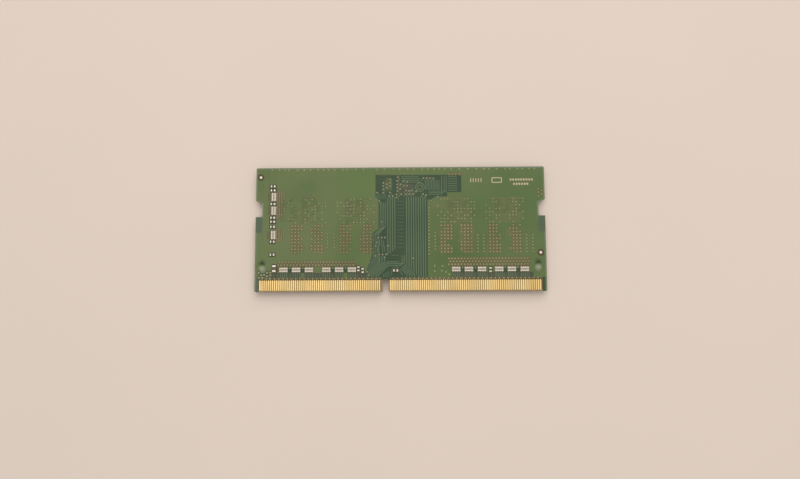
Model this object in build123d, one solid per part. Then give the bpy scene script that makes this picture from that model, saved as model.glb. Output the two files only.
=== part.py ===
from build123d import *
import os

# A small-outline memory module with 260 edge contacts, lying flat with its
# memory chips underneath and its plain back face up.
# +X runs along the board, +Y from the contact edge to the top edge and +Z up
# out of the back face.  The origin is the centre of the bounding box's
# bottom face.  Sizes are in millimetres.

# ---- board outline ----------------------------------------------------------
BOARD_LENGTH = 69.6
BOARD_DEPTH = 30.0
CORNER_RADIUS = 0.3
KEY_X = -3.5
KEY_WIDTH = 1.5
KEY_DEPTH = 3.0
KEY_RADIUS = 0.3
LATCH_DEPTH = 1.6
LATCH_LOW = 18.05
LATCH_HIGH_INSIDE = 21.25
LATCH_HIGH_OUTSIDE = 22.0
LATCH_RADIUS = 0.45
CUT_MARGIN = 1.0

# ---- layers, from the surface that the module lies on, upwards ---------------
LABEL_THICKNESS = 0.10
MOULD_HEIGHT = 0.60
SUBSTRATE_HEIGHT = 0.18
BALL_HEIGHT = 0.29
MASK_THICKNESS = 0.02
COPPER_THICKNESS = 0.035
PREPREG_THICKNESS = 0.15
CORE_THICKNESS = 0.79
PLANE_THICKNESS = 0.03
PLATING_THICKNESS = 0.045
LEGEND_THICKNESS = 0.015
SOLDER_FILM = 0.03

MOULD_Z = LABEL_THICKNESS
SUBSTRATE_Z = MOULD_Z + MOULD_HEIGHT
BALL_Z = SUBSTRATE_Z + SUBSTRATE_HEIGHT
FRONT_COPPER_Z = BALL_Z + BALL_HEIGHT
FRONT_MASK_Z = FRONT_COPPER_Z - MASK_THICKNESS
FRONT_PREPREG_Z = FRONT_COPPER_Z + COPPER_THICKNESS
CORE_Z = FRONT_PREPREG_Z + PREPREG_THICKNESS
BACK_PREPREG_Z = CORE_Z + CORE_THICKNESS
BACK_COPPER_Z = BACK_PREPREG_Z + PREPREG_THICKNESS
BACK_MASK_Z = BACK_COPPER_Z + COPPER_THICKNESS
BACK_FACE_Z = BACK_MASK_Z + MASK_THICKNESS

# ---- edge contacts -----------------------------------------------------------
CONTACT_PITCH = 0.5
CONTACT_WIDTH = 0.35
CONTACT_LENGTH = 2.4
CONTACT_SETBACK = 0.3
SHORT_ROW_COUNT = 58
LONG_ROW_COUNT = 72
KEY_TO_SHORT_ROW = 1.45
KEY_TO_LONG_ROW = 1.25
CONTACT_ZONE_HEIGHT = 2.95
CONTACT_ZONE_LENGTH = 67.8

# ---- copper pours ------------------------------------------------------------
PLANE_INSET = 0.5
POUR_INSET = 0.35
POUR_LOW = 3.35
FAN_OUT_TOP = 4.5
LEFT_FAN_OUT = (-30.7, -7.6)
RIGHT_FAN_OUT = (12.2, 31.6)
LATCH_STRIP_LOW = 14.2
LATCH_STRIP_WIDTH = 1.65

# The copper-free field down the middle of the back face, which carries the
# signal traces.  Each corner is (x, height above the contact edge).
SIGNAL_FIELD = (
    (-8.3, 3.0), (-7.7, 6.3), (-6.75, 8.4), (-6.75, 13.8), (-5.15, 15.1),
    (-5.15, 22.0), (-5.9, 22.7), (-5.9, 28.1), (14.8, 28.1), (14.8, 23.8),
    (11.4, 23.8), (11.4, 22.8), (8.8, 22.8), (7.4, 22.1), (6.6, 22.0),
    (6.6, 3.0),
)

# ---- signal traces in that field ---------------------------------------------
TRACE_WIDTH = 0.2
RUN_COUNT = 17
RUN_FIRST_X = -2.95
RUN_PITCH = 0.565
RUN_LOW = 7.0
RUN_HIGH = 22.0
RUNG_COUNT = 7
RUNG_LOW_X = 11.6
RUNG_HIGH_X = 13.8
RUNG_FIRST_Y = 24.3
RUNG_PITCH = 0.55

# ---- memory chips ------------------------------------------------------------
DRAM_X = (-22.4, -10.7, 13.5, 25.1)
DRAM_Y = 15.5
DRAM_WIDTH = 7.5
DRAM_DEPTH = 13.3
DRAM_EDGE_CHAMFER = 0.08
DIE_WIDTH = 5.6
DIE_DEPTH = 9.2
DIE_HEIGHT = 0.2
PIN_MARK_RADIUS = 0.35
PIN_MARK_DEPTH = 0.05
PIN_MARK_INSET = 0.95
BALL_PITCH = 0.8
BALL_COLUMNS = 3
BALL_ROWS = 16
BALL_BLOCK_X = 2.4
BALL_END_RADIUS = 0.17
BALL_WAIST_RADIUS = 0.24
BALL_WINDOW = (2.4, 12.9)

# ---- data chip that describes the module --------------------------------------
SPD_X = 1.4
SPD_Y = 11.2
SPD_LENGTH = 3.0
SPD_WIDTH = 2.0
SPD_HEIGHT = 0.5
SPD_LEAD_COUNT = 4
SPD_LEAD_PITCH = 0.5
SPD_LEAD_WIDTH = 0.24
SPD_LEAD_LENGTH = 0.4
SPD_LEAD_HEIGHT = 0.06
SPD_MARK_RADIUS = 0.15
SPD_MARK_INSET = 0.4

# ---- passive parts: length across the terminals, width, height, terminal ------
CHIP_SIZE = (1.0, 0.5, 0.35)
CHIP_TERMINAL = 0.24
CAPACITOR_SIZE = (1.0, 0.5, 0.5)
CORNER_PART_SIZE = (1.5, 0.8, 0.45)
CORNER_PART_TERMINAL = 0.34
ARRAY_SIZE = (1.0, 2.0, 0.38)
ARRAY_TERMINAL = 0.27
ARRAY_TERMINAL_WIDTH = 0.32
ARRAY_PITCH = 0.5
ARRAY_WAYS = 4
END_PLATE = 0.02
GLAZE_THICKNESS = 0.025
FILLET_REACH = 0.13
FILLET_RISE = 0.2
WINDOW_MARGIN = 0.06
UPRIGHT = 90

BOTTOM_ARRAY_X = (
    -27.85, -24.8, -21.75, -17.6, -14.55, -11.5,
    13.3, 16.3, 19.4, 23.5, 26.5, 29.55,
)
BOTTOM_ARRAY_Y = 5.22
SIDE_ARRAY_X = -30.45
SIDE_ARRAY_Y = (22.85, 19.5, 13.6)
SIDE_CHIP_X = -30.65
SIDE_CHIP_Y = (25.45, 24.5, 21.15, 17.8, 16.85, 15.6, 12.0, 8.9)
UPRIGHT_CHIPS = ((-9.95, 5.42), (-8.95, 5.0), (21.45, 5.08))
LEVEL_CHIP = (-1.1, 4.97)
CORNER_PART = (-30.1, 5.55)

CAPACITORS_PER_CHIP = 4
CAPACITOR_PITCH = 1.9
CAPACITOR_HIGH_Y = 24.4
CAPACITOR_LOW_Y = 6.6

# ---- fiducials, label and printed marks ----------------------------------------
FIDUCIALS = ((-33.7, 27.7), (33.5, 9.15))
FIDUCIAL_RADIUS = 0.33
FIDUCIAL_RING_RADIUS = 0.82
LABEL_LENGTH = 46.0
LABEL_DEPTH = 11.0
LABEL_RADIUS = 0.8
LABEL_X = 1.4
MARK_STROKE = 0.22
DASH_HEIGHT = 0.9
DASH_GROUP = (17.1, 26.7, 5, 0.62)
DASH_FRAME = (23.35, 26.7, 2.5, 1.35)
LINE_GROUPS = ((26.7, 26.8, 9, 0.64), (27.5, 25.75, 6, 0.64))
LINE_DASH = (0.42, 0.5)

FLAT = (Align.CENTER, Align.CENTER, Align.MIN)


def above_edge(height):
    """Y of a point at this height above the contact edge."""
    return height - BOARD_DEPTH / 2


def save(name, solids):
    """Write one node, made of one solid or of several separate ones."""
    shape = Compound(solids) if isinstance(solids, list) else solids
    export_step(shape, f"parts/{name}.step")


def rectangle_between(low_x, high_x, low_height, high_height):
    """A flat rectangle given by its sides, heights measured from the edge."""
    middle_x = (low_x + high_x) / 2
    middle_y = above_edge((low_height + high_height) / 2)
    width = high_x - low_x
    depth = high_height - low_height
    return Pos(middle_x, middle_y) * Rectangle(width, depth)


def layer(sketch, low_z, thickness):
    """A flat sketch raised to its height and given a thickness."""
    return Pos(0, 0, low_z) * extrude(sketch, amount=thickness)


# ---- board -------------------------------------------------------------------
def latch_notch():
    """The left latch notch, whose upper edge slopes up towards the outside."""
    inside = LATCH_DEPTH - BOARD_LENGTH / 2
    outside = -BOARD_LENGTH / 2 - CUT_MARGIN
    slope = (LATCH_HIGH_OUTSIDE - LATCH_HIGH_INSIDE) / LATCH_DEPTH
    high_outside = LATCH_HIGH_OUTSIDE + slope * CUT_MARGIN
    corners = (
        (outside, above_edge(LATCH_LOW)),
        (inside, above_edge(LATCH_LOW)),
        (inside, above_edge(LATCH_HIGH_INSIDE)),
        (outside, above_edge(high_outside)),
    )
    notch = make_face(Polyline(*corners, close=True))
    inner_corners = notch.vertices().group_by(Axis.X)[-1]
    return fillet(inner_corners, LATCH_RADIUS)


def board_outline():
    """The board seen from above, with its key notch and latch notches."""
    blank = RectangleRounded(BOARD_LENGTH, BOARD_DEPTH, CORNER_RADIUS)
    slot = RectangleRounded(KEY_WIDTH, 2 * KEY_DEPTH, KEY_RADIUS)
    key = Pos(KEY_X, above_edge(0)) * slot
    left = latch_notch()
    right = mirror(left, about=Plane.YZ)
    return blank - [key, left, right]


def make_laminate(outline):
    """Core with a pocket for each inner plane, the planes and the prepregs."""
    plane = offset(outline, amount=-PLANE_INSET, kind=Kind.INTERSECTION)
    power_z = BACK_PREPREG_Z - PLANE_THICKNESS
    ground = layer(plane, CORE_Z, PLANE_THICKNESS)
    power = layer(plane, power_z, PLANE_THICKNESS)
    core = layer(outline, CORE_Z, CORE_THICKNESS) - [ground, power]
    save("laminate_core", core)
    save("ground_plane", ground)
    save("power_plane", power)
    save("front_prepreg", layer(outline, FRONT_PREPREG_Z, PREPREG_THICKNESS))
    save("back_prepreg", layer(outline, BACK_PREPREG_Z, PREPREG_THICKNESS))


def contact_row(first_x, count, low_z):
    """One row of plated edge contacts."""
    pad = Box(CONTACT_WIDTH, CONTACT_LENGTH, PLATING_THICKNESS, align=FLAT)
    middle_y = above_edge(CONTACT_SETBACK + CONTACT_LENGTH / 2)
    return [
        Pos(first_x + step * CONTACT_PITCH, middle_y, low_z) * pad
        for step in range(count)
    ]


def make_contacts():
    """Both rows of contacts, on the back and on the front of the board."""
    short_first = KEY_X - KEY_TO_SHORT_ROW - (SHORT_ROW_COUNT - 1) * CONTACT_PITCH
    long_first = KEY_X + KEY_TO_LONG_ROW
    front_z = FRONT_PREPREG_Z - PLATING_THICKNESS
    for side, low_z in (("back", BACK_COPPER_Z), ("front", front_z)):
        short_row = contact_row(short_first, SHORT_ROW_COUNT, low_z)
        long_row = contact_row(long_first, LONG_ROW_COUNT, low_z)
        save(f"{side}_contacts_short_row", short_row)
        save(f"{side}_contacts_long_row", long_row)


# ---- passive parts -------------------------------------------------------------
def ceramic_body(size):
    """The ceramic of a chip, inside its end plates."""
    length, width, height = size
    bare_length = length - 2 * END_PLATE
    bare_height = height - 2 * END_PLATE
    body = Box(bare_length, width, bare_height, align=FLAT)
    return Pos(0, 0, END_PLATE) * body


def end_cap(size, terminal, width):
    """A C-shaped end plate on a chip's right-hand end."""
    length, _, height = size
    middle_x = (length - terminal) / 2
    plate = Pos(middle_x, 0, 0) * Box(terminal, width, height, align=FLAT)
    return plate - ceramic_body(size)


def solder_joint(size, terminal, width):
    """The tinned land under a right-hand end plate, with its solder fillet."""
    end = size[0] / 2
    inner = end - terminal
    outer = end + FILLET_REACH
    film_z = -SOLDER_FILM
    land_z = film_z - COPPER_THICKNESS
    profile = Polyline(
        (inner, 0, land_z),
        (outer, 0, land_z),
        (outer, 0, film_z),
        (end, 0, FILLET_RISE),
        (end, 0, 0),
        (inner, 0, 0),
        close=True,
    )
    return extrude(make_face(profile), amount=width / 2, both=True)


def glaze(size, terminal):
    """The thin protective coat between the terminals, on top of the body."""
    length, width, height = size
    coat_length = length - 2 * terminal
    coat = Box(coat_length, width, GLAZE_THICKNESS, align=FLAT)
    return Pos(0, 0, height - END_PLATE) * coat


def both_ends(piece, ways=1):
    """Copies of an end piece at both ends, once for each way of an array."""
    copies = []
    for way in range(ways):
        across = (way - (ways - 1) / 2) * ARRAY_PITCH
        for turn in (0, 180):
            copies.append(Rot(0, 0, turn) * Pos(0, across) * piece)
    return copies


def chip_pieces(size, terminal, width, ways=1):
    """Every piece of one kind of chip, by the name of what it is."""
    return {
        "body": [ceramic_body(size)],
        "glaze": [glaze(size, terminal)],
        "caps": both_ends(end_cap(size, terminal, width), ways),
        "solder": both_ends(solder_joint(size, terminal, width), ways),
    }


def placed(pieces, spots):
    """The pieces of one kind of chip, copied to each of its places."""
    return {
        name: [spot * piece for spot in spots for piece in group]
        for name, group in pieces.items()
    }


def back_spot(x, height, turn=0):
    """A seat for a chip on the back face."""
    seat_z = BACK_MASK_Z + SOLDER_FILM
    return Pos(x, above_edge(height), seat_z) * Rot(0, 0, turn)


def front_spot(x, height, turn=0):
    """A seat for a chip on the front face, upside down."""
    seat_z = FRONT_COPPER_Z - SOLDER_FILM
    return Pos(x, above_edge(height), seat_z) * Rot(180, 0, turn)


def window(size, spot):
    """The opening that mask and copper leave round a chip's solder."""
    reach = 2 * (FILLET_REACH + WINDOW_MARGIN)
    opening = Rectangle(size[0] + reach, size[1] + 2 * WINDOW_MARGIN)
    turn = spot.orientation.Z
    return Pos(spot.position.X, spot.position.Y) * Rot(0, 0, turn) * opening


def back_array_spots():
    """Seats of the resistor arrays: the bottom row, then the left column."""
    bottom = [back_spot(x, BOTTOM_ARRAY_Y, UPRIGHT) for x in BOTTOM_ARRAY_X]
    side = [back_spot(SIDE_ARRAY_X, height) for height in SIDE_ARRAY_Y]
    return bottom, side


def back_chip_spots():
    """Seats of the single chip resistors on the back face."""
    column = [back_spot(SIDE_CHIP_X, height) for height in SIDE_CHIP_Y]
    upright = [back_spot(x, height, UPRIGHT) for x, height in UPRIGHT_CHIPS]
    return column + upright + [back_spot(*LEVEL_CHIP)]


def make_back_parts():
    """The back face's passive parts; returns the windows that they need."""
    bottom, side = back_array_spots()
    chips = back_chip_spots()
    corner = [back_spot(*CORNER_PART, UPRIGHT)]
    array_kind = chip_pieces(
        ARRAY_SIZE, ARRAY_TERMINAL, ARRAY_TERMINAL_WIDTH, ARRAY_WAYS
    )
    arrays = placed(array_kind, bottom + side)
    chip_kind = chip_pieces(CHIP_SIZE, CHIP_TERMINAL, CHIP_SIZE[1])
    singles = placed(chip_kind, chips)
    corner_kind = chip_pieces(
        CORNER_PART_SIZE, CORNER_PART_TERMINAL, CORNER_PART_SIZE[1]
    )
    corners = placed(corner_kind, corner)
    names = [f"bottom_resistor_array_{n:02d}" for n in range(1, len(bottom) + 1)]
    names += [f"side_resistor_array_{n:02d}" for n in range(1, len(side) + 1)]
    for name, body in zip(names, arrays["body"]):
        save(name, body)
    save("array_glaze", arrays["glaze"])
    save("array_terminals", arrays["caps"])
    save("back_chip_resistors", singles["body"])
    save("back_chip_glaze", singles["glaze"])
    save("back_chip_terminals", singles["caps"] + corners["caps"])
    save("corner_capacitor", corners["body"][0])
    joints = arrays["solder"] + singles["solder"] + corners["solder"]
    save("back_solder_joints", joints)
    windows = [window(ARRAY_SIZE, spot) for spot in bottom + side]
    windows += [window(CHIP_SIZE, spot) for spot in chips]
    windows += [window(CORNER_PART_SIZE, spot) for spot in corner]
    return windows


def make_front_parts():
    """The front face's passive parts; returns the windows that they need."""
    first = -(CAPACITORS_PER_CHIP - 1) / 2
    capacitors = [
        front_spot(chip_x + (first + step) * CAPACITOR_PITCH, height)
        for chip_x in DRAM_X
        for height in (CAPACITOR_HIGH_Y, CAPACITOR_LOW_Y)
        for step in range(CAPACITORS_PER_CHIP)
    ]
    kind = chip_pieces(CAPACITOR_SIZE, CHIP_TERMINAL, CAPACITOR_SIZE[1])
    caps = placed(kind, capacitors)
    save("front_capacitors", caps["body"])
    save("front_capacitor_terminals", caps["caps"])
    save("front_solder_joints", caps["solder"])
    return [window(CAPACITOR_SIZE, spot) for spot in capacitors]


# ---- chips under the board -----------------------------------------------------
def ball_sites():
    """Places of a memory chip's solder balls, in two blocks of columns."""
    sites = []
    for side in (-1, 1):
        block = GridLocations(BALL_PITCH, BALL_PITCH, BALL_COLUMNS, BALL_ROWS)
        sites += [Pos(side * BALL_BLOCK_X, 0) * site for site in block]
    return sites


def solder_ball():
    """One ball soldered to its land: flat at its ends, widest at its middle."""
    height = BALL_HEIGHT + COPPER_THICKNESS
    low = (BALL_END_RADIUS, 0, 0)
    waist = (BALL_WAIST_RADIUS, 0, height / 2)
    high = (BALL_END_RADIUS, 0, height)
    side = ThreePointArc(low, waist, high)
    closing = Polyline(high, (0, 0, height), (0, 0, 0), low)
    return revolve(make_face([side, closing]), axis=Axis.Z)


def dram_mould():
    """The black moulding, with a hollow for the die and a first-ball mark."""
    body = Box(DRAM_WIDTH, DRAM_DEPTH, MOULD_HEIGHT, align=FLAT)
    low_edges = body.faces().sort_by(Axis.Z)[0].edges()
    body = chamfer(low_edges, DRAM_EDGE_CHAMFER)
    mark_x = DRAM_WIDTH / 2 - PIN_MARK_INSET
    mark_y = DRAM_DEPTH / 2 - PIN_MARK_INSET
    mark = Cylinder(PIN_MARK_RADIUS, PIN_MARK_DEPTH, align=FLAT)
    return body - [Pos(mark_x, mark_y, 0) * mark, dram_die()]


def dram_die():
    """The silicon die, bonded to the substrate above it."""
    die = Box(DIE_WIDTH, DIE_DEPTH, DIE_HEIGHT, align=FLAT)
    return Pos(0, 0, MOULD_HEIGHT - DIE_HEIGHT) * die


def make_memory_chips():
    """Moulding, die, substrate and solder balls of each memory chip."""
    substrate = Box(DRAM_WIDTH, DRAM_DEPTH, SUBSTRATE_HEIGHT, align=FLAT)
    mould = dram_mould()
    die = dram_die()
    ball = solder_ball()
    for number, chip_x in enumerate(DRAM_X, start=1):
        chip_y = above_edge(DRAM_Y)
        low = Pos(chip_x, chip_y, MOULD_Z)
        save(f"dram_package_{number}", low * mould)
        save(f"dram_die_{number}", low * die)
        middle = Pos(chip_x, chip_y, SUBSTRATE_Z)
        save(f"dram_substrate_{number}", middle * substrate)
        high = Pos(chip_x, chip_y, BALL_Z)
        balls = [high * site * ball for site in ball_sites()]
        save(f"dram_solder_balls_{number}", balls)


def ball_windows():
    """The openings in copper and mask round each block of solder balls."""
    return [
        Pos(chip_x + side * BALL_BLOCK_X, above_edge(DRAM_Y)) * Rectangle(*BALL_WINDOW)
        for chip_x in DRAM_X
        for side in (-1, 1)
    ]


def spd_lead_sites():
    """Places of the data chip's leads, along its two long sides."""
    first = -(SPD_LEAD_COUNT - 1) / 2
    inner = (SPD_WIDTH - SPD_LEAD_LENGTH) / 2
    return [
        Pos((first + step) * SPD_LEAD_PITCH, side * inner)
        for side in (-1, 1)
        for step in range(SPD_LEAD_COUNT)
    ]


def make_data_chip():
    """The small data chip: a moulding, and leads soldered to their lands."""
    low_z = FRONT_COPPER_Z - SPD_LEAD_HEIGHT - SPD_HEIGHT
    centre = Pos(SPD_X, above_edge(SPD_Y), low_z)
    body = Box(SPD_LENGTH, SPD_WIDTH, SPD_HEIGHT, align=FLAT)
    mark_x = SPD_LENGTH / 2 - SPD_MARK_INSET
    mark_y = SPD_WIDTH / 2 - SPD_MARK_INSET
    mark = Cylinder(SPD_MARK_RADIUS, PIN_MARK_DEPTH, align=FLAT)
    save("data_chip_package", centre * (body - Pos(mark_x, mark_y, 0) * mark))
    lead_height = SPD_LEAD_HEIGHT + COPPER_THICKNESS
    lead = Box(SPD_LEAD_WIDTH, SPD_LEAD_LENGTH, lead_height, align=FLAT)
    seats = [centre * Pos(0, 0, SPD_HEIGHT) * site for site in spd_lead_sites()]
    save("data_chip_leads", [seat * lead for seat in seats])
    spot = Pos(SPD_X, above_edge(SPD_Y), 0)
    return [window((SPD_LENGTH, SPD_WIDTH), spot)]


# ---- copper and mask -------------------------------------------------------------
def fiducial_discs(radius):
    """A flat disc at each fiducial."""
    return [Pos(x, above_edge(height)) * Circle(radius) for x, height in FIDUCIALS]


def latch_strips():
    """Copper-free strips at both ends, below the latch notches."""
    edge = BOARD_LENGTH / 2
    inside = edge - LATCH_STRIP_WIDTH
    left = rectangle_between(-edge, -inside, LATCH_STRIP_LOW, LATCH_LOW)
    return [left, mirror(left, about=Plane.YZ)]


def signal_field():
    """The copper-free field that the back face's signal traces cross."""
    corners = [(x, above_edge(height)) for x, height in SIGNAL_FIELD]
    return make_face(Polyline(*corners, close=True))


def contact_clearance(height, length=BOARD_LENGTH):
    """The strip along the contact edge, up to a height."""
    return rectangle_between(-length / 2, length / 2, 0, height)


def make_back_layers(outline, windows):
    """Copper pour, signal traces, fiducials and solder mask on the back."""
    pour = offset(outline, amount=-POUR_INSET, kind=Kind.INTERSECTION)
    rings = fiducial_discs(FIDUCIAL_RING_RADIUS)
    fan_outs = [
        rectangle_between(*LEFT_FAN_OUT, 0, FAN_OUT_TOP),
        rectangle_between(*RIGHT_FAN_OUT, 0, FAN_OUT_TOP),
    ]
    gaps = [contact_clearance(POUR_LOW), signal_field()]
    pour = pour - (gaps + fan_outs + latch_strips() + rings + windows)
    save("back_copper_pour", layer(pour, BACK_COPPER_Z, COPPER_THICKNESS))
    marks = [
        layer(disc, BACK_COPPER_Z, PLATING_THICKNESS)
        for disc in fiducial_discs(FIDUCIAL_RADIUS)
    ]
    save("back_fiducials", marks)
    save("back_signal_traces", signal_traces())
    bare_strip = contact_clearance(CONTACT_ZONE_HEIGHT, CONTACT_ZONE_LENGTH)
    mask = outline - ([bare_strip] + rings + windows)
    save("back_solder_mask", layer(mask, BACK_MASK_Z, MASK_THICKNESS))


def signal_traces():
    """The long parallel traces and the short rungs beside them."""
    runs = [
        rectangle_between(x - TRACE_WIDTH / 2, x + TRACE_WIDTH / 2, RUN_LOW, RUN_HIGH)
        for x in (RUN_FIRST_X + step * RUN_PITCH for step in range(RUN_COUNT))
    ]
    heights = [RUNG_FIRST_Y + step * RUNG_PITCH for step in range(RUNG_COUNT)]
    rungs = [
        rectangle_between(
            RUNG_LOW_X, RUNG_HIGH_X, height - TRACE_WIDTH / 2, height + TRACE_WIDTH / 2
        )
        for height in heights
    ]
    return [layer(strip, BACK_COPPER_Z, COPPER_THICKNESS) for strip in runs + rungs]


def make_front_layers(outline, windows):
    """Copper pour and solder mask on the front, open round the solder balls."""
    openings = ball_windows() + windows
    pour = offset(outline, amount=-POUR_INSET, kind=Kind.INTERSECTION)
    pour = pour - ([contact_clearance(POUR_LOW)] + openings)
    save("front_copper_pour", layer(pour, FRONT_COPPER_Z, COPPER_THICKNESS))
    bare_strip = contact_clearance(CONTACT_ZONE_HEIGHT, CONTACT_ZONE_LENGTH)
    mask = outline - ([bare_strip] + openings)
    save("front_solder_mask", layer(mask, FRONT_MASK_Z, MASK_THICKNESS))


# ---- label and printed marks -------------------------------------------------------
def make_label():
    """A blank paper label stuck across the memory chips."""
    outline = RectangleRounded(LABEL_LENGTH, LABEL_DEPTH, LABEL_RADIUS)
    label = Pos(LABEL_X, above_edge(DRAM_Y)) * outline
    save("label", layer(label, 0, LABEL_THICKNESS))


def dashes(first_x, height, count, pitch, dash):
    """A row of plain printed dashes."""
    return [
        Pos(first_x + step * pitch, above_edge(height)) * Rectangle(*dash)
        for step in range(count)
    ]


def make_legend():
    """Plain printed dashes and one frame, in place of any lettering."""
    frame_x, frame_height, frame_length, frame_depth = DASH_FRAME
    frame_place = Pos(frame_x, above_edge(frame_height))
    outer = RectangleRounded(frame_length, frame_depth, MARK_STROKE)
    inner = Rectangle(frame_length - 2 * MARK_STROKE, frame_depth - 2 * MARK_STROKE)
    marks = [frame_place * (outer - inner)]
    marks += dashes(*DASH_GROUP, (MARK_STROKE, DASH_HEIGHT))
    for group in LINE_GROUPS:
        marks += dashes(*group, LINE_DASH)
    solids = [layer(mark, BACK_FACE_Z, LEGEND_THICKNESS) for mark in marks]
    save("back_printed_marks", solids)


def build():
    """Write every node of the module."""
    outline = board_outline()
    make_laminate(outline)
    make_contacts()
    back_windows = make_back_parts()
    front_windows = make_front_parts() + make_data_chip()
    make_back_layers(outline, back_windows)
    make_front_layers(outline, front_windows)
    make_memory_chips()
    make_label()
    make_legend()


os.makedirs("parts", exist_ok=True)
build()
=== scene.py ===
import math
import random

import bmesh
import bpy
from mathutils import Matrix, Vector
from mathutils.geometry import delaunay_2d_cdt


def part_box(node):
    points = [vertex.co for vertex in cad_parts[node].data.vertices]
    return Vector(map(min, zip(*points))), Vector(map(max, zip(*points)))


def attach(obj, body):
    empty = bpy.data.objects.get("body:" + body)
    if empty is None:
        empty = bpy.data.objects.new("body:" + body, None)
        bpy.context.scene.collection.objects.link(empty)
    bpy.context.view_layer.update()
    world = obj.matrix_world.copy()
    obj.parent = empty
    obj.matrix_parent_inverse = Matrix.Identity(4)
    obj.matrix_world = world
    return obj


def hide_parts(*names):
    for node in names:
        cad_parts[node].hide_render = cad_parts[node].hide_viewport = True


# The looks of a small-outline memory module that lies with its plain back face
# up.  Everything is laid out in millimetres, with X along the board and heights
# measured from the contact edge, and is turned into metres when a mesh is made.

MM = 0.001

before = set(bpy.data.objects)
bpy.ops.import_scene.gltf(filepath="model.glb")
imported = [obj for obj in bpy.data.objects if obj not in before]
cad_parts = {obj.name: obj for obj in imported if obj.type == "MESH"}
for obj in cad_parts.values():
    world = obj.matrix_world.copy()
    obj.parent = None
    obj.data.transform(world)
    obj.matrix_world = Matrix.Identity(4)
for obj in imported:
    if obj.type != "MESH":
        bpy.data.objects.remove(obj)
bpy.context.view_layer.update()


# ---- reading places from the CAD frame
def box_mm(node):
    """Lowest and highest corner of a CAD node, in millimetres."""
    low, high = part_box(node)
    return low / MM, high / MM


def solid_boxes(node):
    """Corners of each separate solid of a CAD node, in millimetres, in order of X."""
    shape = bmesh.new()
    shape.from_mesh(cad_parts[node].data)
    bmesh.ops.remove_doubles(shape, verts=shape.verts, dist=WELD_DISTANCE)
    unseen = set(shape.verts)
    boxes = []
    for first in list(shape.verts):
        if first not in unseen:
            continue
        unseen.discard(first)
        island, waiting = [], [first]
        while waiting:
            corner = waiting.pop()
            island.append(corner.co / MM)
            for edge in corner.link_edges:
                other = edge.other_vert(corner)
                if other in unseen:
                    unseen.discard(other)
                    waiting.append(other)
        low = Vector(min(point[axis] for point in island) for axis in range(3))
        high = Vector(max(point[axis] for point in island) for axis in range(3))
        boxes.append((low, high))
    shape.free()
    return sorted(boxes, key=lambda pair: (round(pair[0].x, 3), round(pair[0].y, 3)))


WELD_DISTANCE = 1e-6
BOARD_LOW, BOARD_HIGH = box_mm("laminate_core")
HALF_LENGTH = BOARD_HIGH.x
DEPTH = BOARD_HIGH.y - BOARD_LOW.y
EDGE_Y = BOARD_LOW.y
BASE_Z = box_mm("back_copper_pour")[0].z
FACE_Z = box_mm("back_solder_mask")[1].z
DRAM_X = [sum(corner.x for corner in box_mm(f"dram_package_{n}")) / 2 for n in range(1, 5)]
KEY_TO_LONG_ROW = 1.075
KEY_X = box_mm("back_contacts_long_row")[0].x - KEY_TO_LONG_ROW

# ---- board outline
CORNER_RADIUS = 0.3
KEY_HALF_WIDTH = 0.75
KEY_DEPTH = 3.0
KEY_RADIUS = 0.3
LATCH_DEPTH = 1.6
LATCH_LOW = 18.05
LATCH_HIGH_INSIDE = 21.25
LATCH_HIGH_OUTSIDE = 22.0
LATCH_RADIUS = 0.45
CONTACT_ZONE = (-33.75, 33.75)
CONTACT_ZONE_TOP = 2.76
CONTACT_LOW = 0.32
RESIN_STRIP_TOP = 2.93
KEY_CLEARANCE = 1.0

# ---- relief levels, measured down from the mask's top face
BARE_DROP = 0.03
PIT_DROP = 0.02
RESIN_DROP = 0.05

# ---- plated holes
HOLE_PITCH = 0.8
HOLE_COLUMNS = (-3.6, -2.8, -2.0, -1.2, 1.2, 2.0, 2.8, 3.6)
INNER_COLUMN = 1.5
OUTER_CHANCE = 0.95
INNER_CHANCE = 0.5
SPARSE_CHANCE = 0.4
SPARSE_COLUMNS = 12
SMALL_RING_RADIUS = 0.3
HOLE_FIRST_HEIGHT = 9.4
HOLE_DENSE_ROWS = 9
HOLE_ROWS = 17
LAND_RADIUS = 0.19
RING_RADIUS = 0.4
PIT_RADIUS = 0.08
PIT_SIDES = 6


def above_edge(height):
    """Y of a point at this height above the contact edge."""
    return EDGE_Y + height


# ---- flat shapes: lists of 2-D points
def rounded_polygon(corners, steps=4):
    """A polygon from (x, y, radius) corners, with each corner rounded."""
    points = []
    for index, (x, y, radius) in enumerate(corners):
        here = Vector((x, y))
        if not radius:
            points.append(here)
            continue
        back = (Vector(corners[index - 1][:2]) - here).normalized()
        ahead = (Vector(corners[(index + 1) % len(corners)][:2]) - here).normalized()
        half = back.angle(ahead) / 2
        centre = here + (back + ahead).normalized() * (radius / math.sin(half))
        start = here + back * (radius / math.tan(half)) - centre
        end = here + ahead * (radius / math.tan(half)) - centre
        for step in range(steps + 1):
            spoke = start.lerp(end, step / steps).normalized() * radius
            points.append(centre + spoke)
    return points


def rectangle(low_x, high_x, low_height, high_height, radius=0.0):
    """A rectangle between its sides, heights measured from the contact edge."""
    low_y, high_y = above_edge(low_height), above_edge(high_height)
    corners = ((low_x, low_y), (high_x, low_y), (high_x, high_y), (low_x, high_y))
    return rounded_polygon([(x, y, radius) for x, y in corners])


def disc(x, height, radius, sides=8):
    """A regular polygon round a point."""
    turn = math.tau / sides
    centre = Vector((x, above_edge(height)))
    return [
        centre + Vector((math.cos((side + 0.5) * turn), math.sin((side + 0.5) * turn))) * radius
        for side in range(sides)
    ]


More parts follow.
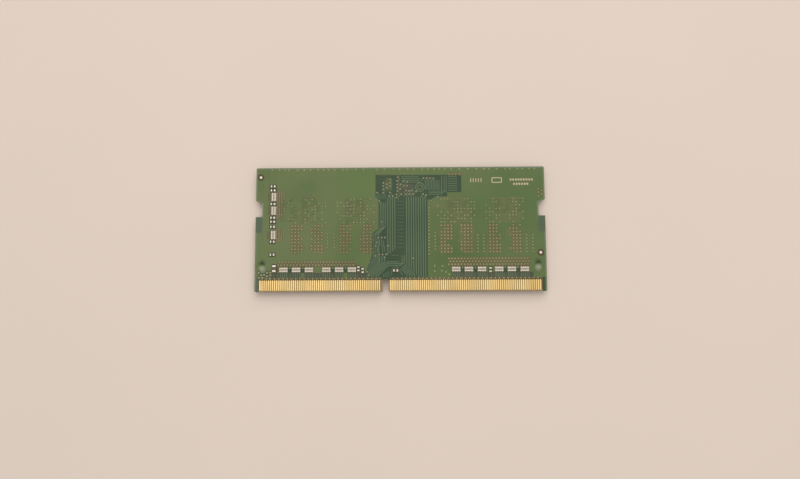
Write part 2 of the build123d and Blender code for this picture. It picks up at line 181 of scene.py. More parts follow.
def side_points(points, distance, closed):
    """The points moved sideways, to the left of their direction of travel."""
    steps = [(end - start).normalized() for start, end in zip(points, points[1:] + points[:1])]
    if not closed:
        steps[-1] = steps[-2]
    moved = []
    for index, here in enumerate(points):
        leaving = steps[index]
        arriving = steps[index - 1] if closed or index else leaving
        middle = (arriving + leaving).normalized()
        share = max(MITRE_LIMIT, middle.dot(leaving))
        moved.append(here + Vector((-middle.y, middle.x)) * (distance / share))
    return moved


MITRE_LIMIT = 0.5


def stroke(corners, width):
    """A line of some width through (x, height) corners, as one polygon."""
    points = [Vector((x, above_edge(height))) for x, height in corners]
    left = side_points(points, width / 2, False)
    right = side_points(points, -width / 2, False)
    return right + left[::-1]


def inset(polygon, distance):
    """A counter-clockwise polygon drawn in by a distance."""
    return side_points(polygon, distance, True)


def turns_left(polygon):
    """Whether a polygon's corners run counter-clockwise."""
    pairs = zip(polygon, polygon[1:] + polygon[:1])
    return sum(start.x * end.y - end.x * start.y for start, end in pairs) > 0


def board_corners():
    """The (x, y, radius) corners of the board, its key notch and its latch notches."""
    edge, inner = HALF_LENGTH, HALF_LENGTH - LATCH_DEPTH
    key_low, key_high = KEY_X - KEY_HALF_WIDTH, KEY_X + KEY_HALF_WIDTH
    low = [
        (-edge, 0, CORNER_RADIUS), (key_low, 0, 0), (key_low, KEY_DEPTH, KEY_RADIUS),
        (key_high, KEY_DEPTH, KEY_RADIUS), (key_high, 0, 0), (edge, 0, CORNER_RADIUS),
    ]
    right = [
        (edge, LATCH_LOW, 0), (inner, LATCH_LOW, LATCH_RADIUS),
        (inner, LATCH_HIGH_INSIDE, LATCH_RADIUS), (edge, LATCH_HIGH_OUTSIDE, 0),
        (edge, DEPTH, CORNER_RADIUS),
    ]
    left = [(-x, height, radius) for x, height, radius in reversed(right)]
    return [(x, above_edge(height), radius) for x, height, radius in low + right + left]


def board_outline():
    """The board seen from above."""
    return rounded_polygon(board_corners())


def pour_outline():
    """The copper's outline, set back from the board's on every side."""
    sharp = [Vector((x, y)) for x, y, _ in board_corners()]
    return rounded_polygon([(x, y, POUR_RADIUS) for x, y in inset(sharp, POUR_INSET)], 2)


# ---- meshes
def as_drawn(x, y, z):
    """A point that stays where its outline has it."""
    return (x, y, z)


class Shape:
    """Corners in millimetres and faces, gathered before they become one mesh."""

    def __init__(self):
        self.corners = []
        self.faces = []
        self.slots = []

    def loft(self, loops):
        """A closed skin through loops that have the same number of corners."""
        count = len(loops[0])
        starts = [len(self.corners) + level * count for level in range(len(loops))]
        faces = [tuple(reversed(range(starts[0], starts[0] + count)))]
        for low, high in zip(starts, starts[1:]):
            for index in range(count):
                after = (index + 1) % count
                faces.append((low + index, low + after, high + after, high + index))
        faces.append(tuple(range(starts[-1], starts[-1] + count)))
        self.corners += [tuple(corner) for loop in loops for corner in loop]
        self.faces += faces
        self.slots += [0] * len(faces)

    def stack(self, levels, put=as_drawn):
        """A closed skin through (outline, z) levels, each point placed by a function."""
        self.loft([[put(point.x, point.y, z) for point in outline] for outline, z in levels])


def add_object(name, data):
    """An object in the scene that shows a mesh, a light or a camera."""
    thing = bpy.data.objects.new(name, data)
    bpy.context.scene.collection.objects.link(thing)
    return thing


def add_mesh(name, corners, faces, materials, smooth):
    """An object with a mesh of these corners, in metres."""
    mesh = bpy.data.meshes.new(name)
    mesh.from_pydata(corners, [], faces)
    mesh.polygons.foreach_set("use_smooth", [smooth] * len(faces))
    for material in materials:
        mesh.materials.append(material)
    return add_object(name, mesh)


def finish_piece(name, shape, materials, slot, replaced, smooth=False):
    """Turn a shape into a named piece that rides on the board."""
    corners = [[value * MM for value in corner] for corner in shape.corners]
    piece = add_mesh(name, corners, shape.faces, materials, smooth)
    piece.data.polygons.foreach_set("material_index", shape.slots)
    piece.data.update()
    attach(piece, "root")
    if replaced:
        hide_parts(*replaced)


# ---- materials
class Finish:
    """A Principled material and the procedural textures that drive it."""

    def __init__(self, name, metallic=0.0, coat=0.0, specular=0.5):
        self.material = bpy.data.materials.new(name)
        self.material.use_nodes = True
        self.tree = self.material.node_tree
        self.sockets = self.tree.nodes["Principled BSDF"].inputs
        self.sockets["Metallic"].default_value = metallic
        self.sockets["Coat Weight"].default_value = coat
        self.sockets["Specular IOR Level"].default_value = specular
        self.place = self.node("TexCoord", "Object")

    def node(self, kind, output, **inputs):
        """A new node's output, with its inputs linked or set to constants."""
        node = self.tree.nodes.new(f"ShaderNode{kind}")
        for name, value in inputs.items():
            socket = node.inputs[name.replace("_", " ")]
            if isinstance(value, bpy.types.NodeSocket):
                self.tree.links.new(value, socket)
            else:
                socket.default_value = value
        return node.outputs[output]

    def noise(self, size, detail=3.0, stretch=None):
        """Noise with features of this size in millimetres, stretched along the axes."""
        place = self.place
        if stretch:
            place = self.node("Mapping", "Vector", Vector=place, Scale=stretch)
        return self.node("TexNoise", "Fac", Vector=place, Scale=1 / (size * MM), Detail=detail)

    def bands(self, size, direction):
        """Soft stripes with this pitch in millimetres, across an axis."""
        scale = WAVE_UNIT / (size * MM)
        look = {"Scale": scale, "Distortion": 1.5, "Detail_Scale": 1.5}
        stripes = self.node("TexWave", "Fac", Vector=self.place, **look)
        stripes.node.bands_direction = direction
        return stripes

    def spot(self, x, y, radius):
        """A soft round spot that fades out at this radius, all in millimetres."""
        scale = 1 / (radius * MM)
        shift = {"Scale": (scale, scale, 0.0), "Location": (-x / radius, -y / radius, 0.0)}
        place = self.node("Mapping", "Vector", Vector=self.place, **shift)
        fade = self.node("TexGradient", "Fac", Vector=place)
        fade.node.gradient_type = "SPHERICAL"
        return fade

    def colour(self, factor, *tones):
        """Base colour that goes from one tone to another with a factor."""
        ramp = self.node("ValToRGB", "Color", Fac=factor)
        for stop, position, tone in zip(ramp.node.color_ramp.elements, RAMP_STOPS, tones):
            stop.position = position
            stop.color = (*tone, 1)
        self.tree.links.new(ramp, self.sockets["Base Color"])

    def tinge(self, factor, tone):
        """Base colour drawn towards a tone where a factor is high."""
        socket = self.sockets["Base Color"]
        below = socket.links[0].from_socket
        mix = self.node("MixRGB", "Color", Fac=factor, Color1=below, Color2=(*tone, 1))
        self.tree.links.new(mix, socket)

    def roughness(self, factor, low, high):
        """Roughness that goes from one value to another with a factor."""
        spread = self.node("MapRange", "Result", Value=factor, To_Min=low, To_Max=high)
        self.tree.links.new(spread, self.sockets["Roughness"])

    def bump(self, *heights, strength, depth):
        """Fine relief from one or more textures, this many millimetres deep."""
        look = {"Strength": strength, "Distance": depth * MM}
        for height in heights:
            look["Normal"] = self.node("Bump", "Normal", Height=height, **look)
        self.tree.links.new(look["Normal"], self.sockets["Normal"])


RAMP_STOPS = (0.3, 0.7)
WAVE_UNIT = 0.314  # pitch of the wave texture at a scale of 1
GLASS_PITCH = 0.45


# How each kind of surface looks.  A noise is its size in millimetres, then its detail and
# its stretch where they matter.  A row holds the shader's own values, the noise of the
# tone, the noise of the roughness and its range, the axes along which the glass weave
# shows, and the noise, strength and depth in millimetres of the fine relief.
LOOKS = {
    # solder mask: glossy, faintly uneven, with the glass weave under it
    "mask": (
        {"coat": 0.05, "specular": 0.22}, (9.0, 6.0), (1.5,), (0.32, 0.5),
        "XY", ((0.08,), 0.25, 0.006),
    ),
    # glass-epoxy cut and unmasked, with the cloth showing as fine bands
    "laminate": (
        {}, (0.35, 4.0, (1.0, 1.0, 4.0)), (0.2,), (0.55, 0.8), "X", ((0.06,), 0.4, 0.01),
    ),
    # satin hard gold, wiped along its length by a socket's springs
    "gold": (
        {"metallic": 1.0}, (2.2, 4.0, (1.0, 0.25, 1.0)), (0.12, 3.0, (4.0, 0.2, 1.0)),
        (0.24, 0.46), "", ((0.05, 3.0, (5.0, 0.15, 1.0)), 0.25, 0.003),
    ),
    # reflowed solder: bright, with a frosted, faintly crystalline skin
    "solder": ({"metallic": 0.85}, (0.2,), (0.1,), (0.22, 0.42), "", ((0.07,), 0.3, 0.008)),
    # matt tin plating on a chip's end, as it looks after reflow
    "tin": ({}, (0.15,), (0.08,), (0.35, 0.55), "", ((0.05,), 0.25, 0.005)),
    # fired ceramic: fine-grained and nearly matt
    "ceramic": ({}, (0.12,), (0.1,), (0.55, 0.75), "", ((0.03,), 0.3, 0.004)),
    # a printed glassy coat over a resistor, slightly wavy
    "glaze": ({"coat": 0.4}, (0.25,), (0.2,), (0.3, 0.45), "", ((0.18,), 0.3, 0.008)),
    # moulding compound with a fine spark-eroded grain
    "moulding": ({}, (0.3,), (0.1,), (0.55, 0.72), "", ((0.04,), 0.5, 0.006)),
    # a memory chip's thin carrier
    "substrate": ({}, (0.4,), (0.2,), (0.4, 0.6), "", None),
    # etched copper foil
    "copper": ({"metallic": 1.0}, (0.6,), (0.2,), (0.35, 0.55), "", None),
    # a ground silicon die
    "silicon": ({"metallic": 0.6}, (1.0,), (0.3,), (0.2, 0.35), "", None),
    # legend ink, a little uneven where it was screened on
    "ink": ({}, (0.15,), (0.1,), (0.6, 0.8), "", ((0.06,), 0.4, 0.004)),
    # label stock with a faint fibre
    "paper": (
        {}, (0.4, 5.0, (1.0, 4.0, 1.0)), (0.3,), (0.6, 0.8),
        "", ((0.12, 4.0, (1.0, 3.0, 1.0)), 0.2, 0.005),
    ),
    # the even surface that the module lies on
    "floor": ({"specular": 0.2}, (60.0, 2.0), (20.0,), (0.8, 0.9), "", None),
}


def surface(name, look, *tones, spots=(), **changes):
    """A material with the look of its kind, between two tones."""
    values, tone, rough, rough_range, weave, relief = LOOKS[look]
    finish = Finish(name, **values, **changes)
    finish.colour(finish.noise(*tone), *tones)
    for x, height, radius, tinge in spots:
        finish.tinge(finish.spot(x, above_edge(height), radius), tinge)
    finish.roughness(finish.noise(*rough), *rough_range)
    if relief:
        noise, strength, depth = relief
        bands = [finish.bands(GLASS_PITCH, direction) for direction in weave]
        finish.bump(*bands, finish.noise(*noise), strength=strength, depth=depth)
    return finish.material


# Each dent's place (x and height), then the painted shade above its middle and the painted
# highlight below it, each with its rise and tone, standing in for the light on the dent's walls.
# Then the spots of the pour from which a tone spreads, each with its x, height and radius.
DENTS = ((-33.0, 6.15), (32.8, 6.25))
DENT_SHADE_AND_HIGHLIGHT = ((0.7, (0.020, 0.040, 0.010)), (-0.6, (0.340, 0.350, 0.260)))
DENT_SHADING_RADIUS = 1.1
DENT_PAINTED_SHADING = [
    (x, height + rise, DENT_SHADING_RADIUS, tone)
    for x, height in DENTS
    for rise, tone in DENT_SHADE_AND_HIGHLIGHT
]
SHADE_SPOTS = [
    (13.0, 9.0, 16.0, (0.080, 0.140, 0.038)),
    (29.0, 21.0, 17.0, (0.088, 0.150, 0.042)),
    (-28.0, 12.0, 14.0, (0.140, 0.185, 0.068)),
    (-10.0, 25.5, 7.0, (0.120, 0.185, 0.052)),
]
# The pour's tone also carries the dents' painted shade and painted highlight.
POUR = surface(
    "mask_over_copper", "mask", (0.100, 0.158, 0.048), (0.142, 0.182, 0.062),
    spots=SHADE_SPOTS + DENT_PAINTED_SHADING,
)
BROWN = surface("mask_over_hole_clearance", "mask", (0.122, 0.094, 0.037), (0.158, 0.118, 0.047))
LAMINATE = surface("glass_epoxy", "laminate", (0.150, 0.120, 0.060), (0.230, 0.180, 0.095))
PREPREG = surface("glass_epoxy_prepreg", "laminate", (0.27, 0.195, 0.088), (0.37, 0.275, 0.135))
GOLD = surface("hard_gold", "gold", (0.60, 0.420, 0.166), (0.76, 0.555, 0.245))
SOLDER = surface("reflowed_solder", "solder", (0.78, 0.77, 0.73), (0.92, 0.91, 0.88))
TIN = surface("matt_tin", "tin", (0.92, 0.95, 0.78), (0.96, 1.0, 0.84), metallic=0.05)
ARRAY_TIN = surface(
    "matt_array_tin", "tin", (0.64, 0.58, 0.47), (0.79, 0.73, 0.61), metallic=0.3
)
FIDUCIAL_TIN = surface(
    "matt_fiducial_tin", "tin", (0.74, 0.64, 0.50), (0.90, 0.82, 0.70), metallic=0.1
)
ALUMINA = surface("white_alumina", "ceramic", (0.60, 0.54, 0.44), (0.76, 0.70, 0.60))
BROWN_CERAMIC = surface(
    "brown_capacitor_ceramic", "ceramic", (0.12, 0.092, 0.052), (0.18, 0.14, 0.082)
)
PALE_GLAZE = surface("pale_glaze", "glaze", (0.34, 0.27, 0.185), (0.45, 0.37, 0.265))
DARK_GLAZE = surface("dark_glaze", "glaze", (0.022, 0.016, 0.007), (0.036, 0.028, 0.014))
MARK_GLAZE = surface("mark_on_glaze", "glaze", (0.12, 0.10, 0.07), (0.20, 0.17, 0.12))
MOULDING = surface(
    "black_moulding_compound", "moulding", (0.018, 0.018, 0.019), (0.034, 0.034, 0.036)
)
SUBSTRATE = surface("chip_substrate", "substrate", (0.028, 0.085, 0.035), (0.05, 0.13, 0.05))
COPPER = surface("copper_foil", "copper", (0.62, 0.30, 0.17), (0.80, 0.44, 0.27))
SILICON = surface("ground_silicon", "silicon", (0.10, 0.10, 0.12), (0.17, 0.17, 0.20))
INK = surface("legend_ink", "ink", (0.46, 0.36, 0.215), (0.68, 0.57, 0.365))
PAPER = surface("label_paper", "paper", (0.78, 0.78, 0.76), (0.88, 0.88, 0.86))
FLOOR = surface("pale_paper_sweep", "floor", (0.800, 0.690, 0.605), (0.815, 0.702, 0.617))


# ---- the back face's relief
def mask(name, *tones):
    """Solder mask over something that lends it a tone."""
    return surface(f"mask_over_{name}", "mask", *tones)


# Each kind of region: its material and how far it lies below the mask's top face.
KINDS = {
    "margin": (mask("margin", (0.150, 0.200, 0.110), (0.190, 0.230, 0.130)), BARE_DROP),
    "pour": (POUR, 0.0),
    "bare": (mask("laminate", (0.031, 0.066, 0.030), (0.044, 0.082, 0.038)), BARE_DROP),
    "warm": (mask("etched_copper", (0.116, 0.148, 0.051), (0.148, 0.166, 0.062)), 0.0),
    "strip": (mask("strip", (0.082, 0.115, 0.070), (0.100, 0.135, 0.082)), BARE_DROP),
    "fan": (mask("fan_out", (0.060, 0.070, 0.040), (0.085, 0.095, 0.055)), BARE_DROP),
    "brown": (BROWN, BARE_DROP),
    "dull": (mask("small_clearance", (0.078, 0.095, 0.030), (0.100, 0.115, 0.038)), BARE_DROP),
    "trace": (mask("trace", (0.100, 0.160, 0.084), (0.130, 0.185, 0.098)), 0.0),
    "land": (mask("land", (0.285, 0.300, 0.145), (0.390, 0.392, 0.200)), 0.0),
    "pit": (BROWN, PIT_DROP),
    # bare resin, toned dark; above the contacts this dark strip is also painted shade cast by the mask's
    # edge
    "resin": (
        surface("bare_resin_with_painted_shade", "laminate", (0.062, 0.041, 0.016), (0.100, 0.070, 0.030)),
        RESIN_DROP,
    ),
    # bare resin between the contacts, toned darker as painted shade where the pads shade it
    "gap": (
        surface("resin_between_contacts_with_painted_shade", "laminate", (0.11, 0.072, 0.03), (0.15, 0.10, 0.042)),
        RESIN_DROP,
    ),
}
KIND_NAMES = list(KINDS)


class Relief:
    """Copper and mask as flat regions painted over each other, each at its level."""

    def __init__(self):
        self.points = []
        self.regions = []
        self.kinds = []

    def paint(self, kind, polygon):
        """One more region, which covers what is below it.  No kind is an opening."""
        first = len(self.points)
        self.points += polygon if turns_left(polygon) else polygon[::-1]
        self.regions.append(list(range(first, len(self.points))))
        self.kinds.append(kind)

    def hole(self, x, height, ring="brown", ring_radius=RING_RADIUS, land_radius=LAND_RADIUS):
        """A plated hole: its clearance ring, its land and its mask-filled pit."""
        if ring:
            self.paint(ring, disc(x, height, ring_radius))
        self.paint("land", disc(x, height, land_radius))
        self.paint("pit", disc(x, height, PIT_RADIUS, PIT_SIDES))

    def holes(self, places, *look):
        """Plated holes that look the same, at these (x, height) places."""
        for x, height in places:
            self.hole(x, height, *look)

    def line(self, corners, width, kind="trace"):
        """A trace through these (x, height) corners."""
        self.paint(kind, stroke(corners, width))

    def lines(self, count, width, corners):
        """Lines side by side; a corner is x, height and, if it moves on, its step."""
        full = [(*corner, 0, 0)[:4] for corner in corners]
        for turn in range(count):
            path = [(x + on * turn, height + up * turn) for x, height, on, up in full]
            self.line(path, width)

    def build(self):
        """The relief as one closed skin, stepped where the level changes."""
        points, _, triangles, _, _, sources = delaunay_2d_cdt(
            self.points, [], self.regions, INSIDE_ONLY, CDT_TOLERANCE, True
        )
        kept = []
        for triangle, regions in zip(triangles, sources):
            kind = self.kinds[max(regions)] if 0 in regions else None
            if kind:
                kept.append((triangle, KIND_NAMES.index(kind), FACE_Z - KINDS[kind][1]))
        shape = Shape()
        corner_at = {}

        def corner(index, z):
            key = (index, z)
            if key not in corner_at:
                x, y = points[index]
                corner_at[key] = len(shape.corners)
                pressed = max(z - dent(x, y), BASE_Z + THINNEST)
                shape.corners.append((x, y, z if z == BASE_Z else pressed))
            return corner_at[key]

        sides = {}
        for triangle, slot, z in kept:
            shape.faces.append(tuple(corner(index, z) for index in triangle))
            shape.slots.append(slot)
            for start, end in zip(triangle, triangle[1:] + triangle[:1]):
                sides[(start, end)] = (z, slot)
        rim = []
        for (start, end), (z, slot) in sides.items():
            other, _ = sides.get((end, start), (BASE_Z, slot))
            if (end, start) not in sides:
                rim.append((start, end))
            if z > other:
                shape.faces.append(
                    (corner(end, z), corner(start, z), corner(start, other), corner(end, other))
                )
                shape.slots.append(slot)
        self.close_below(shape, points, rim, corner)
        return shape

    def close_below(self, shape, points, rim, corner):
        """The flat underside, between the edges of the skin's rim."""
        following = dict(rim)
        loop = [rim[0][0]]
        while following[loop[-1]] != loop[0]:
            loop.append(following[loop[-1]])
        flat = [points[index] for index in loop]
        _, _, triangles, origins, _, sources = delaunay_2d_cdt(
            flat, [], [list(range(len(flat)))], INSIDE_ONLY, CDT_TOLERANCE, True
        )
        for triangle, regions in zip(triangles, sources):
            if regions:
                low = [corner(loop[origins[index][0]], BASE_Z) for index in triangle]
                shape.faces.append(tuple(reversed(low)))
                shape.slots.append(0)


INSIDE_ONLY = 1
CDT_TOLERANCE = 1e-5
THINNEST = 0.004


def dent(x, y):
    """How far the two ringed dents near the lower corners lower the face here."""
    depth = 0.0
    for place_x, height in DENTS:
        reach = math.dist((x, y), (place_x, above_edge(height))) / DENT_RADIUS
        if reach < DENT_RINGS[0]:
            lip = math.exp(-(((reach - 1) / LIP_SPREAD) ** 2))
            depth += DENT_DEPTH * max(1 - reach * reach, 0.0) - LIP_HEIGHT * lip
    return depth


# ---- where the pattern's parts lie: x and heights in millimetres
BELOW_EDGE = -1.0
POUR_INSET = 0.35
POUR_RADIUS = 0.1
POUR_LOW = 3.3
SIGNAL_FIELD = (
    (-8.3, 3.3), (-8.0, 5.0), (-7.7, 6.3), (-6.75, 8.4), (-6.75, 13.8), (-5.15, 15.1),
    (-5.15, 22.0), (-5.9, 22.7), (-5.9, 28.1), (14.8, 28.1), (14.8, 23.8),
    (11.4, 23.8), (11.4, 22.8), (8.8, 22.8), (7.4, 22.1), (6.6, 22.0), (6.6, 3.3),
)
LATCH_STRIP = (33.15, 14.2)  # inner side and lowest height
STRIP_MARGIN = 0.1

# Small fields inside the others: kind, then both sides, both heights and the radius.
PATCHES = (
    ("brown", (-29.65, -28.9, 4.75, 6.7, 0.2)),
    ("dull", (-3.5, -1.9, 24.2, 27.5, 0.4)),
    ("fan", (0.0, 3.4, 23.0, 25.9, 0.4)),
)

# Copper etched into strips over the memory chips: both sides and both heights.
ETCHED_PATCHES = (
    (-24.9, -23.1, 9.9, 11.5), (-25.7, -24.5, 11.9, 14.6), (-24.0, -19.4, 22.2, 23.4),
    (-23.5, -19.6, 20.3, 20.8), (-25.0, -23.4, 16.4, 20.2), (-14.4, -12.3, 10.8, 14.9),
    (-9.8, -6.95, 9.2, 14.0), (-13.6, -7.7, 18.2, 21.8), (-7.9, -5.6, 15.2, 19.8),
    (9.4, 12.0, 9.6, 11.3), (9.4, 11.8, 13.0, 15.2), (14.3, 17.4, 9.3, 16.0),
    (11.1, 16.2, 16.4, 22.8), (7.4, 10.6, 20.0, 21.4), (21.0, 23.3, 9.2, 12.6),
    (26.6, 28.3, 9.0, 14.4), (25.0, 26.6, 13.2, 15.2), (22.4, 29.0, 16.4, 22.6),
)
STRIP_PITCH = 0.42
STRIP_SHARE = 0.82
STRIP_JITTER = 0.5
STRIP_SEED = 5
DASH_FIELDS = (
    (11.2, 16.2, 16.4, 22.6), (22.6, 28.8, 19.0, 22.4), (-24.0, -19.4, 16.6, 23.2),
    (-13.4, -7.6, 16.4, 22.8), (16.8, 20.4, 17.6, 19.8), (-29.2, -24.6, 17.0, 23.0),
)
DASH_PITCH = 0.42
DASH_WIDTH = 0.13
DASH_LENGTHS = (0.5, 2.0)
DASH_GAPS = (0.4, 2.2)
DASH_AND_HOLE_SEED = 11

# The signal field's lines: how many lie side by side, how wide they are, and the corners
# of the first, each with x, height and, if it moves on, its step in both.
RUN_HIGH = 22.7
RUN_PITCH = 0.565
TRACE_LOW = 3.4
FOOT = 3.9
LINES = (
    # the two groups of long traces down the middle
    (4, 0.22, ((-2.95, RUN_HIGH, RUN_PITCH, 0), (-2.95, 8.7, RUN_PITCH, 0.45))),
    (5, 0.22, ((1.57, RUN_HIGH, RUN_PITCH, 0), (1.57, 6.18, RUN_PITCH, -RUN_PITCH))),
    (4, 0.22, ((4.395, RUN_HIGH, RUN_PITCH, 0), (4.395, TRACE_LOW, RUN_PITCH, 0))),
    # thin level bars between the two groups, and one under the first
    (7, 0.09, ((-0.65, 10.6, 0, 1.7), (0.75, 10.6, 0, 1.7))),
    (7, 0.09, ((-0.65, 11.45, 0, 1.7), (0.95, 11.45, 0, 1.7))),
    (1, 0.12, ((-2.0, 8.6), (-0.3, 8.6))),
    # traces beside them, which step sideways round a group of holes
    (4, 0.18, (
        (-4.75, 21.4, 0.42, 0), (-4.75, 15.2, 0.42, 0.12), (-6.35, 13.5, 0.42, 0.12),
        (-6.35, 7.8, 0.42, -0.18), (-7.8, 6.35, 0, -0.6),
    )),
    # the crowded top left corner
    (3, 0.16, ((-5.6, 22.2, 1.0, 0), (-5.6, 23.3, 1.0, 0))),
    (2, 0.16, ((-5.1, 22.2, 1.0, 0), (-5.1, 23.6, 1.0, 0))),
    # three cranked traces between the holes left of the long ones
    (1, 0.16, ((-4.95, 12.4), (-4.95, 11.1), (-5.25, 10.7), (-5.25, 9.4))),
    (1, 0.16, ((-4.5, 12.6), (-4.5, 11.15), (-4.2, 10.75), (-4.2, 9.3))),
    (1, 0.16, ((-4.0, 12.2), (-4.0, 11.05), (-3.7, 10.65), (-3.7, 9.5))),
    # stubs and a small arch round the chip above the key notch
    (4, 0.16, ((-4.05, TRACE_LOW, 0.45, 0), (-4.05, 4.2, 0.45, 0.25))),
    (1, 0.16, ((-2.05, 3.8), (-2.05, 5.0), (-1.6, 5.8), (-0.6, 5.8), (-0.15, 5.0), (0.55, 3.9))),
    # traces that pass over that chip and down on its left
    (1, 0.22, ((0.44, 8.6), (0.44, 6.55), (0.09, 6.2), (-2.9, 6.2), (-5.2, FOOT), (-5.2, TRACE_LOW))),
    (1, 0.22, ((1.0, 8.6), (1.0, 6.9), (0.72, 6.62), (-3.03, 6.62), (-5.75, FOOT), (-5.75, TRACE_LOW))),
    (1, 0.22, ((-0.3, 7.04), (-3.16, 7.04), (-6.3, FOOT), (-6.3, TRACE_LOW))),
    (3, 0.22, (
        (-3.75, 8.4, -0.6, 0), (-3.75, 7.0, -0.6, -0.05), (-6.85, FOOT, -0.55, 0),
        (-6.85, TRACE_LOW, -0.55, 0),
    )),
    # traces that pass down on the chip's right
    (4, 0.2, ((0.1, 5.5, 0.3, 0.3), (1.6, 4.0, 0.6, 0), (1.6, TRACE_LOW, 0.6, 0))),
    # length-matching lines at the top, and the uprights and level lines right of them
    (4, 0.18, ((0.3, 26.35, 0, 0.45), (5.0, 26.35, -0.15, 0.45))),
    (1, 0.18, ((10.05, 24.0), (10.05, 27.7))),
    (1, 0.18, ((10.7, 23.9), (10.7, 27.8))),
    (1, 0.18, ((11.2, 23.6), (11.2, 27.9))),
    (3, 0.16, ((6.9, 23.35, 0, 0.38), (10.2, 23.35, 0.4, 0.38))),
    (7, 0.2, ((11.6, 24.3, 0, 0.55), (13.8, 24.3, 0, 0.55))),
)
SLOTS = ((0.22, ((-0.28, 24.0), (-0.28, 28.2))), (0.14, ((-6.0, 28.3), (-2.0, 28.3))))

# The matching coil: its middle, and the radius and kind of each ring.
COIL = (4.85, 25.1)
COIL_RINGS = ((1.15, "trace"), (0.93, "bare"), (0.65, "trace"), (0.43, "bare"))
COIL_SIDES = 20

# The meander right of it, and the cranked tail at each of the field's holes.
MEANDER_X = 6.2
MEANDER_PITCH = 0.36
MEANDER_TURNS = 10
MEANDER_ENDS = (24.6, 26.7)
MEANDER_WIDTH = 0.16
TAIL_REACH = 0.42
TAIL_BEND = 0.3
TAIL_END = 0.75
TAIL_WIDTH = 0.14

# The fan-out under the arrays, the fields between them and the feeds above them.
FAN_OUT_TOP = 4.5
FAN_OUT_PITCH = 1.0
LEFT_FAN_OUT = (-30.7, -8.0)
RIGHT_FAN_OUT = (12.2, 31.6)
FAN_OUT_SHORT = 0.35
FAN_OUT_START = 0.05
FAN_OUT_WIDTH = 0.13
FEED_WIDTH = 0.2
GREEN_GAPS = (-23.3, -13.05)
GREEN_GAP_REACH = 0.45
GREEN_GAP_RISE = 0.1
GAP_HOLES = (-26.4, -23.3, -16.1, -13.05, 14.85, 17.9, 25.0, 28.0)
GAP_HEIGHT = 5.65
GAP_REACH = 0.42
GAP_TOP = 6.0
FEED_HIGH = 6.7
FEED_SHORT = 0.3
THIN_FEED_WIDTH = 0.14
FIELD_RADIUS = 0.1

# Plated holes that aren't over a memory chip, by their x and height.
STITCH_HEIGHT = 29.5
STITCH_X = (
    -31.0, -29.2, -27.9, -26.9, -24.8, -23.2, -21.7, -19.8, -18.5, -17.3, -15.8, -13.8,
    -12.8, -10.7, -8.8, -5.6, -3.7, -1.5, -0.1, 1.9, 3.4, 5.4, 6.8, 8.3, 9.5, 10.8, 12.4,
    14.4, 16.4, 18.5, 20.4, 21.5, 23.4, 25.4, 26.6, 28.4, 29.6, 31.2, 32.5,
)
SHORT_STITCH = [(x, 28.25) for x in (11.9, 12.7, 13.5, 14.4)]
ESCAPE_HOLES = (
    (-0.5, 27.6), (-0.65, 26.7), (-0.65, 25.8), (-0.6, 25.0), (-0.6, 24.2), (-0.8, 23.4),
    (-0.8, 22.6), (-2.4, 27.0), (-2.4, 26.2), (-2.4, 25.4), (-3.1, 25.0), (-3.15, 25.9),
    (-4.0, 26.2), (-4.0, 25.4), (-4.0, 24.6), (-4.0, 23.8), (-5.5, 23.8), (-2.4, 23.8),
    (-2.6, 23.0), (-1.75, 23.0), (-5.0, 21.8), (0.9, 26.7), (1.8, 26.4), (0.2, 25.8),
    (0.95, 25.5), (1.75, 25.45), (0.1, 24.7), (1.5, 24.3), (2.2, 24.2), (2.9, 24.3),
    (3.9, 24.1), (0.3, 23.4), (1.5, 23.4), (2.3, 23.4), (3.15, 23.4), (5.6, 23.4),
    (6.3, 23.1), (9.1, 22.7), (7.5, 21.8), (5.7, 27.3), (6.5, 27.3), (7.3, 27.3),
    (8.1, 27.2),
)
BAND_HOLES = (
    (-5.55, 11.75), (-5.85, 10.9), (-2.95, 10.9), (-4.4, 12.9), (-5.2, 12.9), (-3.6, 12.9),
    (-5.9, 8.5), (-5.0, 8.85), (-4.2, 8.85), (-3.35, 8.85), (-3.75, 8.1), (-4.4, 16.7),
    (-4.2, 15.1), (3.1, 7.9), (-7.85, 4.7), (-7.5, 3.9),
)
CORNER_HOLES = (
    (-33.8, 4.6), (-33.2, 4.0), (-32.5, 4.1), (-31.8, 4.6), (-31.0, 4.6), (-33.7, 3.4),
    (-32.9, 3.4), (-31.8, 3.75), (-31.0, 3.95), (-31.2, 3.2),
)
POUR_HOLES = ((8.2, 6.1), (10.1, 6.0), (8.2, 4.8), (9.9, 4.9), (10.9, 4.6), (11.7, 4.0))
EDGE_HOLES = ((33.3, 24.5), (33.3, 23.7), (33.3, 22.8), (34.1, 24.1), (34.1, 23.3))

# A hole's look: its ring's kind and radius and, where it differs, its land's radius.
FIELD_LOOK = ("fan", 0.34)
CORNER_LOOK = ("fan", 0.5, 0.24)
EDGE_LOOK = ("brown", 0.36)
ARRAY_LOOK = ("brown", 0.38)

# Rows over the arrays (both ends, then heights), over the contacts (first x, pitch and
# count), and extra columns (x, lowest height and count).
ARRAY_HOLE_PITCH = 0.75
ARRAY_HOLE_ROWS = (
    ((-29.2, -10.0), (6.4, 7.1)),
    ((11.6, 31.2), (6.4, 7.1, 7.8)),
)
CONTACT_HOLES = (-33.0, 1.01, 66)
CONTACT_HOLE_HEIGHT = 3.12
CONTACT_HOLE_CLEARANCE = 1.2
EXTRA_COLUMNS = (
    (18.6, 9.4, 6), (20.0, 9.4, 6), (30.2, 9.4, 6), (31.7, 9.4, 6),
    (6.95, 8.9, 15), (8.4, 10.0, 6), (-17.4, 10.6, 5), (-15.8, 10.6, 5),
)

# The column of arrays at the left: columns of holes on its right, traces on its left.
SIDE_COLUMNS = ((-29.65, "brown"), (-29.1, "brown"), (-28.55, "brown"), (-28.0, "dull"))
SIDE_HOLE_PITCH = 0.5
SIDE_HOLE_RADII = (0.3, 0.17)
SIDE_ROWS = 6
SIDE_PATCH = (-29.95, -28.35)
SIDE_PATCH_RISE = 1.35
SIDE_PATCH_RADIUS = 0.2
SIDE_FEED = 0.95
SIDE_FEED_SHORT = 0.15

